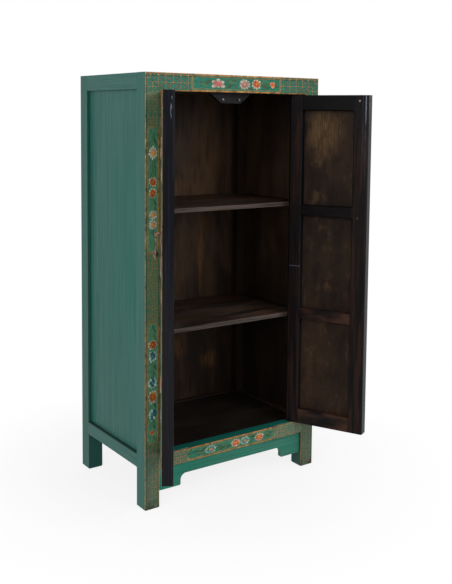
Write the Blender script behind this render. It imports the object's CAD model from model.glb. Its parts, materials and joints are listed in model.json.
import json
import math

import bpy
import numpy as np
from bpy.props import FloatProperty, FloatVectorProperty, IntProperty, PointerProperty
from mathutils import Matrix, Vector


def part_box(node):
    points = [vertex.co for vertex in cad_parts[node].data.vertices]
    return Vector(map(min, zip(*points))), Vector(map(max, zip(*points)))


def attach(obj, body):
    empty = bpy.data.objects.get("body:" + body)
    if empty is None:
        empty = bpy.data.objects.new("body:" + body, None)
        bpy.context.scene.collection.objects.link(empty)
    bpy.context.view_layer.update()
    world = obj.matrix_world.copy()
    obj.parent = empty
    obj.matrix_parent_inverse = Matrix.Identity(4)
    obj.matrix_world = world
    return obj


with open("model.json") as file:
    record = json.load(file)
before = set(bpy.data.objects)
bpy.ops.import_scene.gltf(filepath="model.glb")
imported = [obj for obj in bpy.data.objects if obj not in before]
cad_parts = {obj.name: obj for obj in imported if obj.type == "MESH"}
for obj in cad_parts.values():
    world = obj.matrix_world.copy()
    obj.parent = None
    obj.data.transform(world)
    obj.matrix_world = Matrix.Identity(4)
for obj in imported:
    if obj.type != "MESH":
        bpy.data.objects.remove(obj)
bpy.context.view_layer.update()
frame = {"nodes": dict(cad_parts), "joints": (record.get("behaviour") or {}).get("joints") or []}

bl_info = {
    "name": "Painted cabinet",
    "version": (1, 0, 0),
    "blender": (4, 5, 0),
    "location": "3D View > Sidebar > Cabinet",
    "description": "Dresses the cabinet's pieces with lacquer, painted flowers, stained wood and brass",
    "category": "Object",
}

LEFT = "left"
RIGHT = "right"
WAYS = {LEFT: -1.0, RIGHT: 1.0}


def tint(red, green, blue):
    """Linear colour of a paint named by its 0 to 255 screen values."""
    def channel(value):
        part = value / 255.0
        return part / 12.92 if part <= 0.04045 else ((part + 0.055) / 1.055) ** 2.4
    return (channel(red), channel(green), channel(blue))


# Measures read from the frame


def span(node, axis):
    """Lowest and highest place of a node along one axis, 0 for X, 1 for Y and 2 for Z."""
    low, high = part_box(node)
    return low[axis], high[axis]


POST_IN, POST_OUT = span("front_right_post", 0)
FRONT_Y, POST_BACK_Y = span("front_right_post", 1)
BODY_TOP = span("front_right_post", 2)[1]
POST_MID = (POST_IN + POST_OUT) / 2
POST_HALF = (POST_OUT - POST_IN) / 2
LINTEL_Z = span("lintel", 2)
LINTEL_MID = sum(LINTEL_Z) / 2
SILL_Z = span("sill", 2)
SILL_MID = sum(SILL_Z) / 2
RAIL_IN_Y = span("lintel", 1)[1]
SIDE_IN = -span("left_side_panel", 0)[1]
SIDE_LOW = span("left_bottom_rail", 2)[1]
SIDE_HIGH = span("left_top_rail", 2)[0]
BACK_IN_Y = span("back_panel", 1)[0]
BACK_POST_Y = span("back_right_post", 1)[0]
FLOOR_TOP = span("floor_board", 2)[1]
SHELF_FRONT = span("lower_shelf", 1)[0]
KEEPER_X, KEEPER_Y, KEEPER_Z = (span("right_pivot_keeper", axis) for axis in range(3))
PLATE_Z = sum(span("left_brass_plate", 2)) / 2
JOINTS = {joint["name"]: joint for joint in frame["joints"]}


class Door:
    """Where one door stands at rest: its pivot, the way along it, and the way out of its outer face."""

    def __init__(self, side):
        hinge = JOINTS[side + "_door_hinge"]
        pull = JOINTS[side + "_pull_hinge"]
        self.side = side
        self.pivot = Vector((hinge["pos_m"][0], hinge["pos_m"][1], 0.0))
        self.along = Vector(pull["axis"]) * WAYS[side]
        self.out = self.along.cross(Vector((0.0, 0.0, 1.0))) * -WAYS[side]
        self.back, self.face = self.reach("_meeting_stile", self.out)
        self.meet_in, self.width = self.reach("_meeting_stile", self.along)
        self.stile_in = self.reach("_hinge_stile", self.along)[1]

    def reach(self, part, way):
        """Least and greatest distance of one of the door's parts from the pivot along a direction."""
        mesh = frame["nodes"][self.side + part].data
        points = np.empty(len(mesh.vertices) * 3, np.float32)
        mesh.vertices.foreach_get("co", points)
        along = (points.reshape(-1, 3) - np.array(self.pivot)) @ np.array(way)
        return float(along.min()), float(along.max())


DOORS = {side: Door(side) for side in WAYS}
DOOR_STILES = ("_hinge_stile", "_meeting_stile")
DOOR_RAILS = ("_door_bottom_rail", "_lower_mid_rail", "_upper_mid_rail", "_door_top_rail")
DOOR_PANELS = ("_lower_panel", "_middle_panel", "_upper_panel")


# Painted bands

class Band:
    """A painted band: half its width, the widths of its border and dark gap, its lattice and its long panels.

    pitch is the lattice's cell across and along. panels holds each long panel's middle and half length down
    the band, and corner is the radius of their corners. shift is how far the lattice's middle line lies off
    the band's, brush how strong the brush strokes are, and cool how far the lattice's ground is cooled.
    """

    def __init__(self, half, border, gap, pitch, panels=(), corner=1.0, shift=0.0, brush=1.0, cool=0.0):
        self.half = half
        self.border = border
        self.pitch = pitch
        self.panels = panels
        self.shift = shift
        self.brush = brush
        self.cool = cool
        self.inner = half - border - gap
        self.corner = min(corner, self.inner - 0.0007)


POST_PITCH = (0.0182, 0.0237)
POST_BAND = Band(POST_HALF, 0.0023, 0.0026, POST_PITCH, ((0.886, 0.170), (0.3555, 0.1685)), 0.0155,
                 brush=1.2, cool=0.85)
LINTEL_BAND = Band((LINTEL_Z[1] - LINTEL_Z[0]) / 2, 0.0025, 0.0006, (0.0205, 0.0237), ((0.0005, 0.1545),),
                   0.010, shift=-0.0018, brush=0.9, cool=0.7)
SILL_BAND = Band((SILL_Z[1] - SILL_Z[0]) / 2, 0.0021, 0.0003, (0.0104, 0.0124), ((-0.0065, 0.1575),),
                 0.013, brush=0.8, cool=0.9)
STILE_PANELS = ((0.95, 0.14), (0.60, 0.125), (0.28, 0.10))


# Fixed finishes, which no setting changes

# How much light each finish throws back, 0.5 being bare plastic or metal
BODY_SHEEN, WOOD_SHEEN, SHELF_SHEEN, DOOR_SHEEN, PAINT_SHEEN, METAL_SHEEN = 0.14, 0.12, 0.07, 0.08, 0.2, 0.5

# How far from a corner an edge is worn, in metres
BODY_EDGE, WOOD_EDGE, DOOR_EDGE, BRASS_EDGE = 0.0018, 0.0014, 0.0016, 0.0006

# Depth of the fine unevenness of each finish, in metres, and how high a painted line stands in it
LACQUER_DEPTH, WOOD_DEPTH, BRASS_DEPTH, STEEL_DEPTH, PAINT_DEPTH = 0.00022, 0.00025, 0.0003, 0.00008, 0.00012
LINE_LIFT = 1.1

# Half the soft edge of a mask, and how deep flowers and nails reach under the face they stand on, in metres
MASK_EDGE = 0.0002
SUNK = -0.0003
NAIL_SUNK = -0.001

# The nails of a keeper strip: places along it as shares of its length, radius and height of the heads
NAIL_SHARES = (0.12, 0.5, 0.88)
NAIL_RADIUS, NAIL_LIFT = 0.0016, 0.0006

# The photograph's width and height in pixels, and the camera's film width in millimetres
PICTURE_WIDTH, PICTURE_HEIGHT = 452, 584
FILM = 36.0


class Tones:
    """Paint, stain, dirt and metal at single places."""
    recess = tint(2, 66, 48)
    rail_dirt = tint(18, 34, 22)
    post_dirt = tint(12, 32, 26)
    aged_post = tint(14, 60, 52)
    hair_dark = tint(6, 62, 54)
    hair_pale = tint(78, 128, 118)
    foot_shade = tint(0, 52, 48)
    inside_shade = tint(12, 9, 8)
    bare_deep = tint(84, 62, 44)
    bare_rubbed = tint(140, 116, 88)
    keeper_mark = tint(10, 16, 16)
    lintel_green = tint(6, 90, 74)
    sill_green = tint(32, 122, 96)
    foot_scuffed = tint(60, 54, 50)
    foot_green = tint(22, 96, 80)
    foot_dirt = tint(58, 44, 32)
    mitre = tint(40, 26, 22)
    shelf_brown = tint(80, 50, 31)
    shelf_dark = tint(18, 13, 11)
    shelf_front = tint(94, 88, 85)
    shelf_shade = tint(8, 7, 6)
    floor = (tint(36, 30, 26), tint(16, 13, 12), tint(52, 44, 38))
    stop_block = (tint(13, 13, 17), tint(7, 7, 9), tint(32, 32, 38))
    panel_sunned = tint(92, 70, 46)
    panel_cloud = tint(78, 60, 42)
    panel_stain = tint(9, 8, 8)
    frame_deep = tint(9, 8, 9)
    frame_low = tint(19, 19, 22)
    frame_high = tint(5, 6, 12)
    frame_edge = tint(50, 50, 56)
    frame_hair = tint(34, 36, 46)
    rail_dark = tint(3, 2, 4)
    rail_ruddy = tint(70, 46, 34)
    stile_ruddy = tint(44, 26, 20)
    rim_dark = tint(40, 36, 34)
    rim_pale = tint(92, 86, 80)
    frame_streak = tint(56, 66, 82)
    frame_scratch = tint(84, 88, 110)
    frame_glint = tint(146, 148, 164)
    frame_scuff = tint(128, 134, 146)
    brass_spot = tint(70, 56, 40)
    brass_black = tint(34, 27, 25)
    brass_ring = tint(60, 44, 28)
    steel = (tint(60, 59, 58), tint(100, 98, 95))
    disc = (tint(122, 102, 98), tint(34, 30, 32))
    paint_dust = tint(96, 96, 74)
    stem = tint(58, 70, 40)


# Settings that a user would change

def colour(name, description, value):
    """A colour setting."""
    return FloatVectorProperty(name=name, description=description, subtype="COLOR", size=3, min=0.0,
                               max=1.0, default=value)


def number(name, description, value, low=0.0, high=1.0, **kind):
    """A number setting; kind gives its unit or subtype."""
    return FloatProperty(name=name, description=description, default=value, min=low, max=high, **kind)


def length(name, description, value, low=0.0, high=1.0):
    """A length setting in metres."""
    return number(name, description, value, low, high, unit="LENGTH", precision=4)


def angle(name, description, degrees, most=180.0):
    """An angle setting, given here in degrees."""
    most = math.radians(most)
    return number(name, description, math.radians(degrees), -most, most, unit="ROTATION")


class LacquerSettings(bpy.types.PropertyGroup):
    """Lacquer of the body and stain of the inside."""
    body: colour("Body lacquer", "Blue-green lacquer of the sides", tint(40, 94, 86))
    body_deep: colour("Deep lacquer", "Darker streaks in the body lacquer", tint(24, 78, 71))
    body_clear: colour("Clear lacquer", "Clearer blue-green of the sides half way up", tint(8, 88, 76))
    body_worn: colour("Worn lacquer", "Greyed lacquer that shows where it is rubbed", tint(78, 104, 94))
    front: colour("Front lacquer", "Greener ground of the painted front", tint(28, 106, 82))
    front_deep: colour("Deep front lacquer", "Shaded strokes in the front's ground", tint(38, 82, 56))
    undercoat: colour("Undercoat", "Red-brown coat under the lacquer, bared on worn edges", tint(116, 66, 44))
    apron: colour("Apron lacquer", "Lacquer of the apron", tint(32, 110, 92))
    apron_deep: colour("Deep apron lacquer", "Darker streaks on the apron", tint(24, 88, 70))
    ledge: colour("Sill top", "Shaded lacquer on the sill's upper face", tint(14, 95, 84))
    ledge_line: colour("Sill top line", "Pale lacquer along the strips over the pivots", tint(112, 168, 158))
    stain: colour("Inside stain", "Dark stained wood inside", tint(66, 50, 40))
    stain_deep: colour("Inside stain grain", "Grain of the wood inside", tint(30, 22, 18))
    stain_rubbed: colour("Inside stain, rubbed", "Lighter rubbed wood inside", tint(98, 74, 54))
    shelf: colour("Shelf stain", "Stained wood of the shelves", tint(55, 45, 38))
    shelf_rubbed: colour("Shelf stain, rubbed", "Rubbed edges of the shelves", tint(86, 76, 70))
    glow: colour("Amber stain", "Amber streaks in the back panel's stain", tint(104, 72, 38))
    panel: colour("Door panel stain", "Stained wood of the doors' inner panels", tint(34, 23, 18))
    panel_deep: colour("Door panel grain", "Grain of the doors' inner panels", tint(19, 13, 11))
    panel_rubbed: colour("Door panel, rubbed", "Rubbed wood of the doors' inner panels", tint(58, 42, 29))
    frame_black: colour("Door frame stain", "Near black lacquer of the doors' frames", tint(12, 10, 11))
    frame_rubbed: colour("Door frame, rubbed", "Red-brown rubbed parts of the frames", tint(27, 18, 16))
    bare_wood: colour("Bare wood", "Unpainted wood under the body", tint(118, 92, 66))
    wear: number("Wear", "How much undercoat shows on the edges", 0.55, subtype="FACTOR")


class PaintingSettings(bpy.types.PropertyGroup):
    """Lines and flowers painted on the front."""
    gold: colour("Gold line", "Old gold of the borders", tint(156, 110, 56))
    gold_pale: colour("Pale gold", "Rubbed parts of the gold lines", tint(200, 162, 104))
    gold_brown: colour("Brown gold", "Darkened parts of the gold lines", tint(104, 68, 42))
    line_red: colour("Red line", "Orange-red of the lattice", tint(184, 88, 44))
    stroke_pale: colour("Pale stroke", "Pale brush strokes behind the flowers", tint(92, 140, 112))
    stroke_dark: colour("Dark stroke", "Dark brush strokes behind the flowers", tint(12, 60, 48))
    lattice_ground: colour("Lattice ground", "Cooler green under the lattice", tint(12, 100, 78))
    lattice_blue: colour("Lattice ground, blue", "Bluer spots under the lattice", tint(12, 104, 104))
    lattice_lit: colour("Lattice ground, light", "Lighter green under the posts' lattice", tint(40, 142, 104))
    field_lit: colour("Field, light", "Lighter green behind the posts' flowers", tint(78, 134, 106))
    line: length("Lattice line", "Width of the lattice's lines", 0.0010, 0.0003, 0.003)
    relief: length("Relief", "Height of the painted flowers above the lacquer", 0.0005, 0.0001, 0.001)
    petal_steps: IntProperty(name="Petal steps", description="Points round each flower", default=96, min=24,
                             max=144)


class BrassSettings(bpy.types.PropertyGroup):
    """Brass of the plates and pulls."""
    bright: colour("Bright brass", "Rubbed brass", tint(160, 126, 102))
    dull: colour("Dull brass", "Aged brass", tint(74, 56, 48))
    groove: length("Engraved ring", "Radius of the ring engraved in the plate", 0.0395, 0.02, 0.05)


class StageSettings(bpy.types.PropertyGroup):
    """Camera, lamps and floor."""
    camera_x: length("Camera X", "Camera place to the right of the body's middle", -1.448318, -10, 10)
    camera_y: length("Camera Y", "Camera place behind the body's middle", -2.213674, -10, 10)
    camera_z: length("Camera height", "Camera height above the floor", 1.088559, 0, 10)
    yaw: angle("Turn", "Camera's turn to the right of straight ahead", 35.0988)
    pitch: angle("Tilt", "Camera's tilt above the horizon", -4.9275, 90.0)
    roll: angle("Roll", "Camera's roll", 0.5250, 90.0)
    focal_px: number("Focal length", "Focal length in the picture's pixels", 872.033, 100, 5000,
                     subtype="PIXEL")
    centre_x: number("Centre column", "Pixel column of the lens axis", 228.183, -1000, 1000, subtype="PIXEL")
    centre_y: number("Centre row", "Pixel row of the lens axis", 189.995, -1000, 1000, subtype="PIXEL")
    key: number("Key lamp", "Power of the front lamp", 70.0, 0, 1000, unit="POWER")
    side: number("Side lamp", "Power of the left lamp", 76.0, 0, 1000, unit="POWER")
    sky: number("Sky", "Strength of the surrounding light", 0.5, 0, 10)
    floor: colour("Floor", "Pale floor", (0.86, 0.86, 0.86))


SETTINGS = {
    "cabinet_lacquer": LacquerSettings,
    "cabinet_painting": PaintingSettings,
    "cabinet_brass": BrassSettings,
    "cabinet_stage": StageSettings,
}


def settings(name):
    """One of the scene's groups of settings."""
    return getattr(bpy.context.scene, "cabinet_" + name)


# Shader building


# Shader building

class Sheet:
    """Adds shader nodes to a tree. Values may be numbers, colours or other nodes' sockets."""

    def __init__(self, tree):
        self.tree = tree
        self.count = 0

    def put(self, socket, value):
        """Links a socket, or sets it where the value is plain."""
        if isinstance(value, bpy.types.NodeSocket):
            self.tree.links.new(value, socket)
        elif socket.type == "RGBA":
            socket.default_value = (*value[:3], 1.0)
        elif socket.type == "VECTOR":
            socket.default_value = tuple(value)
        else:
            socket.default_value = value

    def node(self, kind):
        """A new node of a kind, laid out in rows of 24."""
        node = self.tree.nodes.new("ShaderNode" + kind)
        node.location = (190 * (self.count % 24), -260 * (self.count // 24))
        self.count += 1
        return node

    def add(self, kind, **inputs):
        """A node of a kind; names in inputs are its input sockets with _ for a space."""
        node = self.node(kind)
        for name, value in inputs.items():
            self.put(node.inputs[name.replace("_", " ")], value)
        return node

    def work(self, kind, operation, *terms):
        """A Math or VectorMath node's outputs."""
        node = self.node(kind)
        node.operation = operation
        for socket, value in zip(node.inputs, terms):
            self.put(socket, value)
        return node.outputs

    def calc(self, operation, first, *others):
        """A Math node's result; of three or more terms, taken two by two from the left."""
        if not others:
            return self.work("Math", operation, first)[0]
        for other in others:
            first = self.work("Math", operation, first, other)[0]
        return first

    def plus(self, *terms):
        """The terms' sum."""
        return self.calc("ADD", *terms)

    def minus(self, a, b):
        """a less b."""
        return self.calc("SUBTRACT", a, b)

    def times(self, *terms):
        """The terms' product."""
        return self.calc("MULTIPLY", *terms)

    def least(self, *terms):
        """The least term."""
        return self.calc("MINIMUM", *terms)

    def most(self, *terms):
        """The greatest term."""
        return self.calc("MAXIMUM", *terms)

    def size(self, a):
        """The value without its sign."""
        return self.calc("ABSOLUTE", a)

    def far(self, a, b):
        """Length of two parts at right angles."""
        return self.calc("SQRT", self.plus(self.times(a, a), self.times(b, b)))

    def between(self, by, low, high):
        """Value between low and high."""
        return self.plus(low, self.times(by, self.minus(high, low)))

    def ramp(self, value, low, high, start=0.0, end=1.0, smooth=True):
        """Maps low..high to start..end, clamped."""
        node = self.add("MapRange", Value=value, From_Min=low, From_Max=high, To_Min=start, To_Max=end)
        node.interpolation_type = "SMOOTHSTEP" if smooth else "LINEAR"
        return node.outputs[0]

    def fall(self, value, low, high):
        """1 below low and 0 above high."""
        return self.ramp(value, low, high, 1.0, 0.0)

    def within(self, value, low, high, soft):
        """1 where low < value < high, with soft edges."""
        return self.times(self.ramp(value, low - soft, low + soft),
                          self.fall(value, high - soft, high + soft))

    def line(self, distance, half, soft=0.00025):
        """1 where a distance is less than half a line's width."""
        return self.fall(self.size(distance), self.minus(half, soft), self.plus(half, soft))

    def spot(self, a, b, middle, reach):
        """A soft oval spot: 1 at its middle, falling to 0 at its reach."""
        far_a, far_b = (self.calc("DIVIDE", self.minus(value, start), end)
                        for value, start, end in zip((a, b), middle, reach))
        return self.fall(self.far(far_a, far_b), 0.15, 1.0)

    def blend(self, by, low, high):
        """Colour between low and high."""
        node = self.node("Mix")
        node.data_type = "RGBA"
        for place, value in ((0, by), (6, low), (7, high)):
            self.put(node.inputs[place], value)
        return node.outputs[2]

    def join(self, x, y, z=0.0):
        """A vector of three parts."""
        return self.add("CombineXYZ", X=x, Y=y, Z=z).outputs[0]

    def dot(self, vector, way):
        """How far a vector goes along a direction."""
        return self.work("VectorMath", "DOT_PRODUCT", vector, way)["Value"]

    def stretch(self, vector, by):
        """The vector with each axis scaled."""
        return self.work("VectorMath", "MULTIPLY", vector, by)[0]

    def noise(self, vector, scale, detail=2.0, rough=0.5):
        """Cloudy noise, about 0.5 on average."""
        return self.add("TexNoise", Vector=vector, Scale=scale, Detail=detail, Roughness=rough).outputs["Fac"]

    def streaks(self, vector, by, detail=2.0, rough=0.5):
        """Noise drawn out along an axis by scaling each one by its own number."""
        return self.noise(self.stretch(vector, by), 1.0, detail, rough)

    def group(self, name, **inputs):
        """A use of one of the shared groups."""
        node = self.node("Group")
        node.node_tree = bpy.data.node_groups[name]
        for key, value in inputs.items():
            self.put(node.inputs[key.replace("_", " ")], value)
        return node.outputs


SOCKETS = {"value": "NodeSocketFloat", "colour": "NodeSocketColor", "vector": "NodeSocketVector"}


def named(kind, *labels):
    """Sockets of one kind, each as its label and kind."""
    return [(label, kind) for label in labels]


def shared_group(name, inputs, outputs, build):
    """Makes a shader group once. build gets the sheet and the input sockets and gives the outputs' values."""
    if name in bpy.data.node_groups:
        return
    tree = bpy.data.node_groups.new(name, "ShaderNodeTree")
    for way, sockets in (("INPUT", inputs), ("OUTPUT", outputs)):
        for label, kind in sockets:
            tree.interface.new_socket(label, in_out=way, socket_type=SOCKETS[kind])
    sheet = Sheet(tree)
    entry = tree.nodes.new("NodeGroupInput")
    leave = tree.nodes.new("NodeGroupOutput")
    entry.location = (-260, 0)
    for (label, _), value in zip(outputs, build(sheet, entry.outputs)):
        sheet.put(leave.inputs[label], value)


def build_grain(sheet, given):
    """Wood grain along Z: long streaks, fine pores, broad patches and growth rings, each from 0 to 1."""
    place = given["Vector"]
    wander = sheet.noise(sheet.stretch(place, (5, 5, 1.2)), 3.0)
    shift = sheet.join(sheet.times(wander, 0.012), sheet.times(wander, 0.009))
    moved = sheet.work("VectorMath", "ADD", place, shift)[0]
    streaks = sheet.streaks(moved, (190, 190, 3.2), 3.0, 0.62)
    pores = sheet.streaks(moved, (900, 900, 14), 2.0, 0.6)
    patches = sheet.streaks(place, (9, 9, 2.2), 3.0, 0.55)
    rings = sheet.streaks(moved, (7, 7, 0.75), 1.0, 0.4)
    figure = sheet.calc("SINE", sheet.times(rings, 210.0))
    return (sheet.ramp(streaks, 0.3, 0.7), sheet.ramp(pores, 0.34, 0.66), sheet.ramp(patches, 0.32, 0.68),
            sheet.ramp(figure, -0.7, 1.0))


def build_edges(sheet, given):
    """Worn edges: how far the rounded normal leans from the face's own, broken up by noise."""
    round_off = sheet.add("Bevel", Radius=given["Radius"])
    round_off.samples = 4
    flat = sheet.node("NewGeometry")
    lean = sheet.minus(1.0, sheet.dot(round_off.outputs[0], flat.outputs["Normal"]))
    broken = sheet.noise(given["Vector"], 48.0, 4.0, 0.65)
    edge = sheet.ramp(lean, 0.015, 0.2)
    eaten = sheet.times(given["Amount"], 0.6)
    mask = sheet.times(edge, sheet.ramp(broken, sheet.minus(0.78, eaten), sheet.minus(0.92, eaten)))
    return (mask, edge, round_off.outputs[0])


def build_lattice(sheet, given):
    """Brocade lattice: oblong cells, both diagonals of each, and dots at the middles of its sides.

    The distance from a diagonal is the two counts' sum or difference, measured to the nearest whole number,
    times the cell's sides over its diagonal.
    """
    wide, long = given["Pitch Across"], given["Pitch Along"]
    across = sheet.calc("DIVIDE", given["Across"], wide)
    along = sheet.calc("DIVIDE", given["Along"], long)
    half = sheet.times(given["Line"], 0.5)

    def off(count, side):
        """Distance of a count from the nearest whole number, as a length."""
        return sheet.times(sheet.size(sheet.minus(count, sheet.calc("ROUND", count))), side)

    def stroke(distance, width):
        """1 on a line of a width, with soft edges."""
        return sheet.fall(distance, sheet.times(width, 0.6), sheet.times(width, 1.4))

    lean = sheet.calc("DIVIDE", sheet.times(wide, long), sheet.far(wide, long))
    beside, ahead = off(across, wide), off(along, long)
    dots = sheet.least(sheet.far(beside, off(sheet.plus(along, 0.5), long)),
                       sheet.far(off(sheet.plus(across, 0.5), wide), ahead))
    grid = sheet.least(beside, ahead)
    cross = sheet.least(off(sheet.plus(across, along), lean), off(sheet.minus(across, along), lean))
    red = sheet.most(stroke(cross, half), stroke(dots, sheet.times(half, 2.4)))
    shade = sheet.fall(sheet.least(grid, cross), half, sheet.times(half, 3.4))
    return (stroke(grid, half), red, shade)


def build_cartouche(sheet, given):
    """Distance outside a long panel with round corners: its half length along, its half width across."""
    corner = given["Corner"]

    def past(distance, half):
        """How far a distance goes past where the corner's arc begins."""
        return sheet.most(sheet.minus(sheet.size(distance), sheet.minus(half, corner)), 0.0)

    ahead = past(sheet.minus(given["Along"], given["Centre"]), given["Half Length"])
    aside = past(given["Across"], given["Half Width"])
    return (sheet.minus(sheet.far(ahead, aside), corner),)


def build_lacquer(sheet, given):
    """Brushed lacquer on wood: streaks along the grain, rubbed patches, undercoat on the worn edges."""
    place = given["Vector"]
    grain = sheet.group("wood grain", Vector=place)
    ground = sheet.blend(sheet.times(grain["Streaks"], 0.55), given["Colour"], given["Deep"])
    ground = sheet.blend(sheet.times(grain["Patches"], grain["Pores"], 0.5), ground, given["Worn"])
    hairs = sheet.ramp(sheet.streaks(place, (230, 230, 5), 2.0, 0.6), 0.54, 0.68)
    ground = sheet.blend(sheet.times(hairs, 0.8), ground, given["Deep"])
    speck = sheet.ramp(sheet.streaks(place, (60, 60, 22), 5.0, 0.7), 0.66, 0.76)
    ground = sheet.blend(sheet.times(speck, 0.35), ground, given["Undercoat"])
    bare = sheet.blend(given["Edge"], ground, given["Undercoat"])
    rough = sheet.plus(0.36, sheet.times(grain["Patches"], 0.1), sheet.times(given["Edge"], 0.2))
    height = sheet.plus(sheet.times(grain["Streaks"], 0.5), sheet.times(grain["Pores"], 0.25))
    return (bare, rough, height)


def build_stain(sheet, given):
    """Dark stained wood: brown ground, blacker grain and pores, lighter rubbed patches."""
    grain = sheet.group("wood grain", Vector=given["Vector"])
    ground = given["Colour"]
    for part, strength in (("Streaks", 0.75), ("Figure", 0.3), ("Pores", 0.4)):
        ground = sheet.blend(sheet.times(grain[part], strength), ground, given["Deep"])
    broad = sheet.ramp(sheet.streaks(given["Vector"], (13, 13, 4), 3.0, 0.6), 0.42, 0.7)
    ground = sheet.blend(sheet.times(broad, 0.5), ground, given["Rubbed"])
    rough = sheet.plus(0.42, sheet.times(grain["Pores"], 0.16))
    height = sheet.plus(sheet.times(grain["Streaks"], 0.6), sheet.times(grain["Pores"], 0.5))
    return (ground, rough, height)


def build_strokes(sheet, given):
    """Brush strokes along a band: pale and dark streaks over the ground."""
    place = sheet.join(sheet.times(given["Across"], 260.0), sheet.times(given["Along"], 46.0))
    broad = sheet.noise(place, 1.0, 3.0, 0.62)
    fine = sheet.streaks(place, (2.6, 1.9, 1.0), 2.0, 0.6)
    both = sheet.plus(sheet.times(broad, 0.6), sheet.times(fine, 0.4))
    pale = sheet.times(sheet.ramp(both, 0.5, 0.62), 0.5, given["Amount"])
    dark = sheet.times(sheet.ramp(broad, 0.47, 0.36), 0.62, given["Amount"])
    return (sheet.blend(dark, sheet.blend(pale, given["Ground"], given["Pale"]), given["Dark"]),)


def build_gilding(sheet, given):
    """Old gold line work over a ground: worn through in places, brown and pale by turns."""
    paint = settings("painting")
    place = given["Vector"]
    ageing = sheet.noise(place, 70.0, 4.0, 0.65)
    tone = sheet.blend(sheet.ramp(ageing, 0.36, 0.5), paint.gold_brown, paint.gold)
    tone = sheet.blend(sheet.ramp(ageing, 0.56, 0.72), tone, paint.gold_pale)
    wear = sheet.ramp(sheet.noise(place, 26.0, 5.0, 0.7), 0.34, 0.46)
    fine = sheet.ramp(sheet.noise(place, 220.0, 2.0, 0.6), 0.4, 0.56)

    def worn(mask, broad, close):
        """A mask of lines, worn by broad and by fine spots that each leave a share of it."""
        return sheet.times(mask, sheet.plus(broad, sheet.times(wear, 1 - broad)),
                           sheet.plus(close, sheet.times(fine, 1 - close)))

    gold = worn(given["Gold"], 0.5, 0.35)
    red = worn(given["Red"], 0.4, 0.15)
    ground = sheet.blend(sheet.times(given["Shade"], 0.7), given["Ground"], paint.stroke_dark)
    inked = sheet.blend(red, ground, paint.line_red)
    threads = sheet.blend(gold, inked, sheet.blend(0.6, tone, paint.gold_pale))
    border = sheet.times(given["Border"], sheet.plus(0.62, sheet.times(wear, 0.38)))
    return (sheet.blend(border, threads, tone), sheet.most(gold, red, given["Border"]))


def build_groups():
    """All shader groups that more than one material uses."""
    place = named("vector", "Vector")
    finish = named("colour", "Colour") + named("value", "Roughness", "Height")
    lines = named("value", "Gold", "Red", "Shade")
    shared_group("wood grain", place, named("value", "Streaks", "Pores", "Patches", "Figure"), build_grain)
    shared_group("worn edges", place + named("value", "Radius", "Amount"),
                 named("value", "Worn", "Edge") + named("vector", "Normal"), build_edges)
    shared_group("brocade lattice", named("value", "Across", "Along", "Pitch Across", "Pitch Along", "Line"),
                 lines, build_lattice)
    shared_group("brush strokes", named("value", "Across", "Along", "Amount")
                 + named("colour", "Ground", "Pale", "Dark"), named("colour", "Colour"), build_strokes)
    shared_group("cartouche", named("value", "Across", "Along", "Centre",
                                    "Half Length", "Half Width", "Corner"),
                 named("value", "Distance"), build_cartouche)
    shared_group("lacquer", place + named("colour", "Colour", "Deep", "Worn", "Undercoat")
                 + named("value", "Edge"), finish, build_lacquer)
    shared_group("stained wood", place + named("colour", "Colour", "Deep", "Rubbed"), finish, build_stain)
    shared_group("gilding", place + named("colour", "Ground") + lines + named("value", "Border"),
                 named("colour", "Colour") + named("value", "Lift"), build_gilding)


# Lacquer and stain on the body

# Amber spots in the back panel: middle across and up, reach across and up, and strength
AMBER = (
    ((0.124, 0.625), (0.016, 0.170), 0.95), ((0.135, 0.720), (0.030, 0.060), 0.4),
    ((0.041, 0.330), (0.040, 0.070), 0.5), ((0.160, 0.268), (0.050, 0.040), 0.75),
    ((0.139, 0.940), (0.120, 0.200), 0.32), ((0.020, 0.850), (0.200, 0.050), 0.45),
    ((0.040, 0.620), (0.050, 0.160), 0.25),
)

# The axes across and along the grain of a board that stands, lies across or runs front to back
GRAIN_ALONG = {"upright": (0, 1, 2), "across": (1, 2, 0), "deep": (0, 2, 1)}


def start_material(name, sheen=METAL_SHEEN):
    """An empty material, its sheet and its main shader with a specular level."""
    material = bpy.data.materials.new(name)
    material.use_nodes = True
    tree = material.node_tree
    tree.nodes.clear()
    shader = tree.nodes.new("ShaderNodeBsdfPrincipled")
    leave = tree.nodes.new("ShaderNodeOutputMaterial")
    shader.location = (5000, 0)
    leave.location = (5300, 0)
    shader.inputs["Specular IOR Level"].default_value = sheen
    tree.links.new(shader.outputs[0], leave.inputs[0])
    return material, Sheet(tree), shader


def finish_material(sheet, shader, tone, rough, height, depth, normal=None):
    """Feeds the shader: colour, roughness, and a bump of the given depth in metres."""
    bump = sheet.add("Bump", Strength=1.0, Distance=depth, Height=height)
    if normal is not None:
        sheet.put(bump.inputs["Normal"], normal)
    sheet.put(shader.inputs["Base Color"], tone)
    sheet.put(shader.inputs["Roughness"], rough)
    sheet.put(shader.inputs["Normal"], bump.outputs[0])


def object_place(sheet):
    """Object coordinates and their three parts."""
    place = sheet.node("TexCoord").outputs["Object"]
    return place, *sheet.add("SeparateXYZ", Vector=place).outputs[:3]


def grain_place(sheet, parts, run):
    """The place with the board's own length on the third axis, where the grain groups want it."""
    return sheet.join(*(parts[axis] for axis in GRAIN_ALONG[run]))


def dress(material, *nodes):
    """Gives CAD nodes one material."""
    for node in nodes:
        slots = frame["nodes"][node].data.materials
        slots.clear()
        slots.append(material)


def between_walls(sheet, x, y):
    """1 between the side panels, behind the front frame and before the back panel."""
    return sheet.times(sheet.fall(sheet.size(x), SIDE_IN + 0.0005, SIDE_IN + 0.0009),
                       sheet.within(y, RAIL_IN_Y + 0.001, BACK_IN_Y + 0.001, MASK_EDGE))


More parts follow.
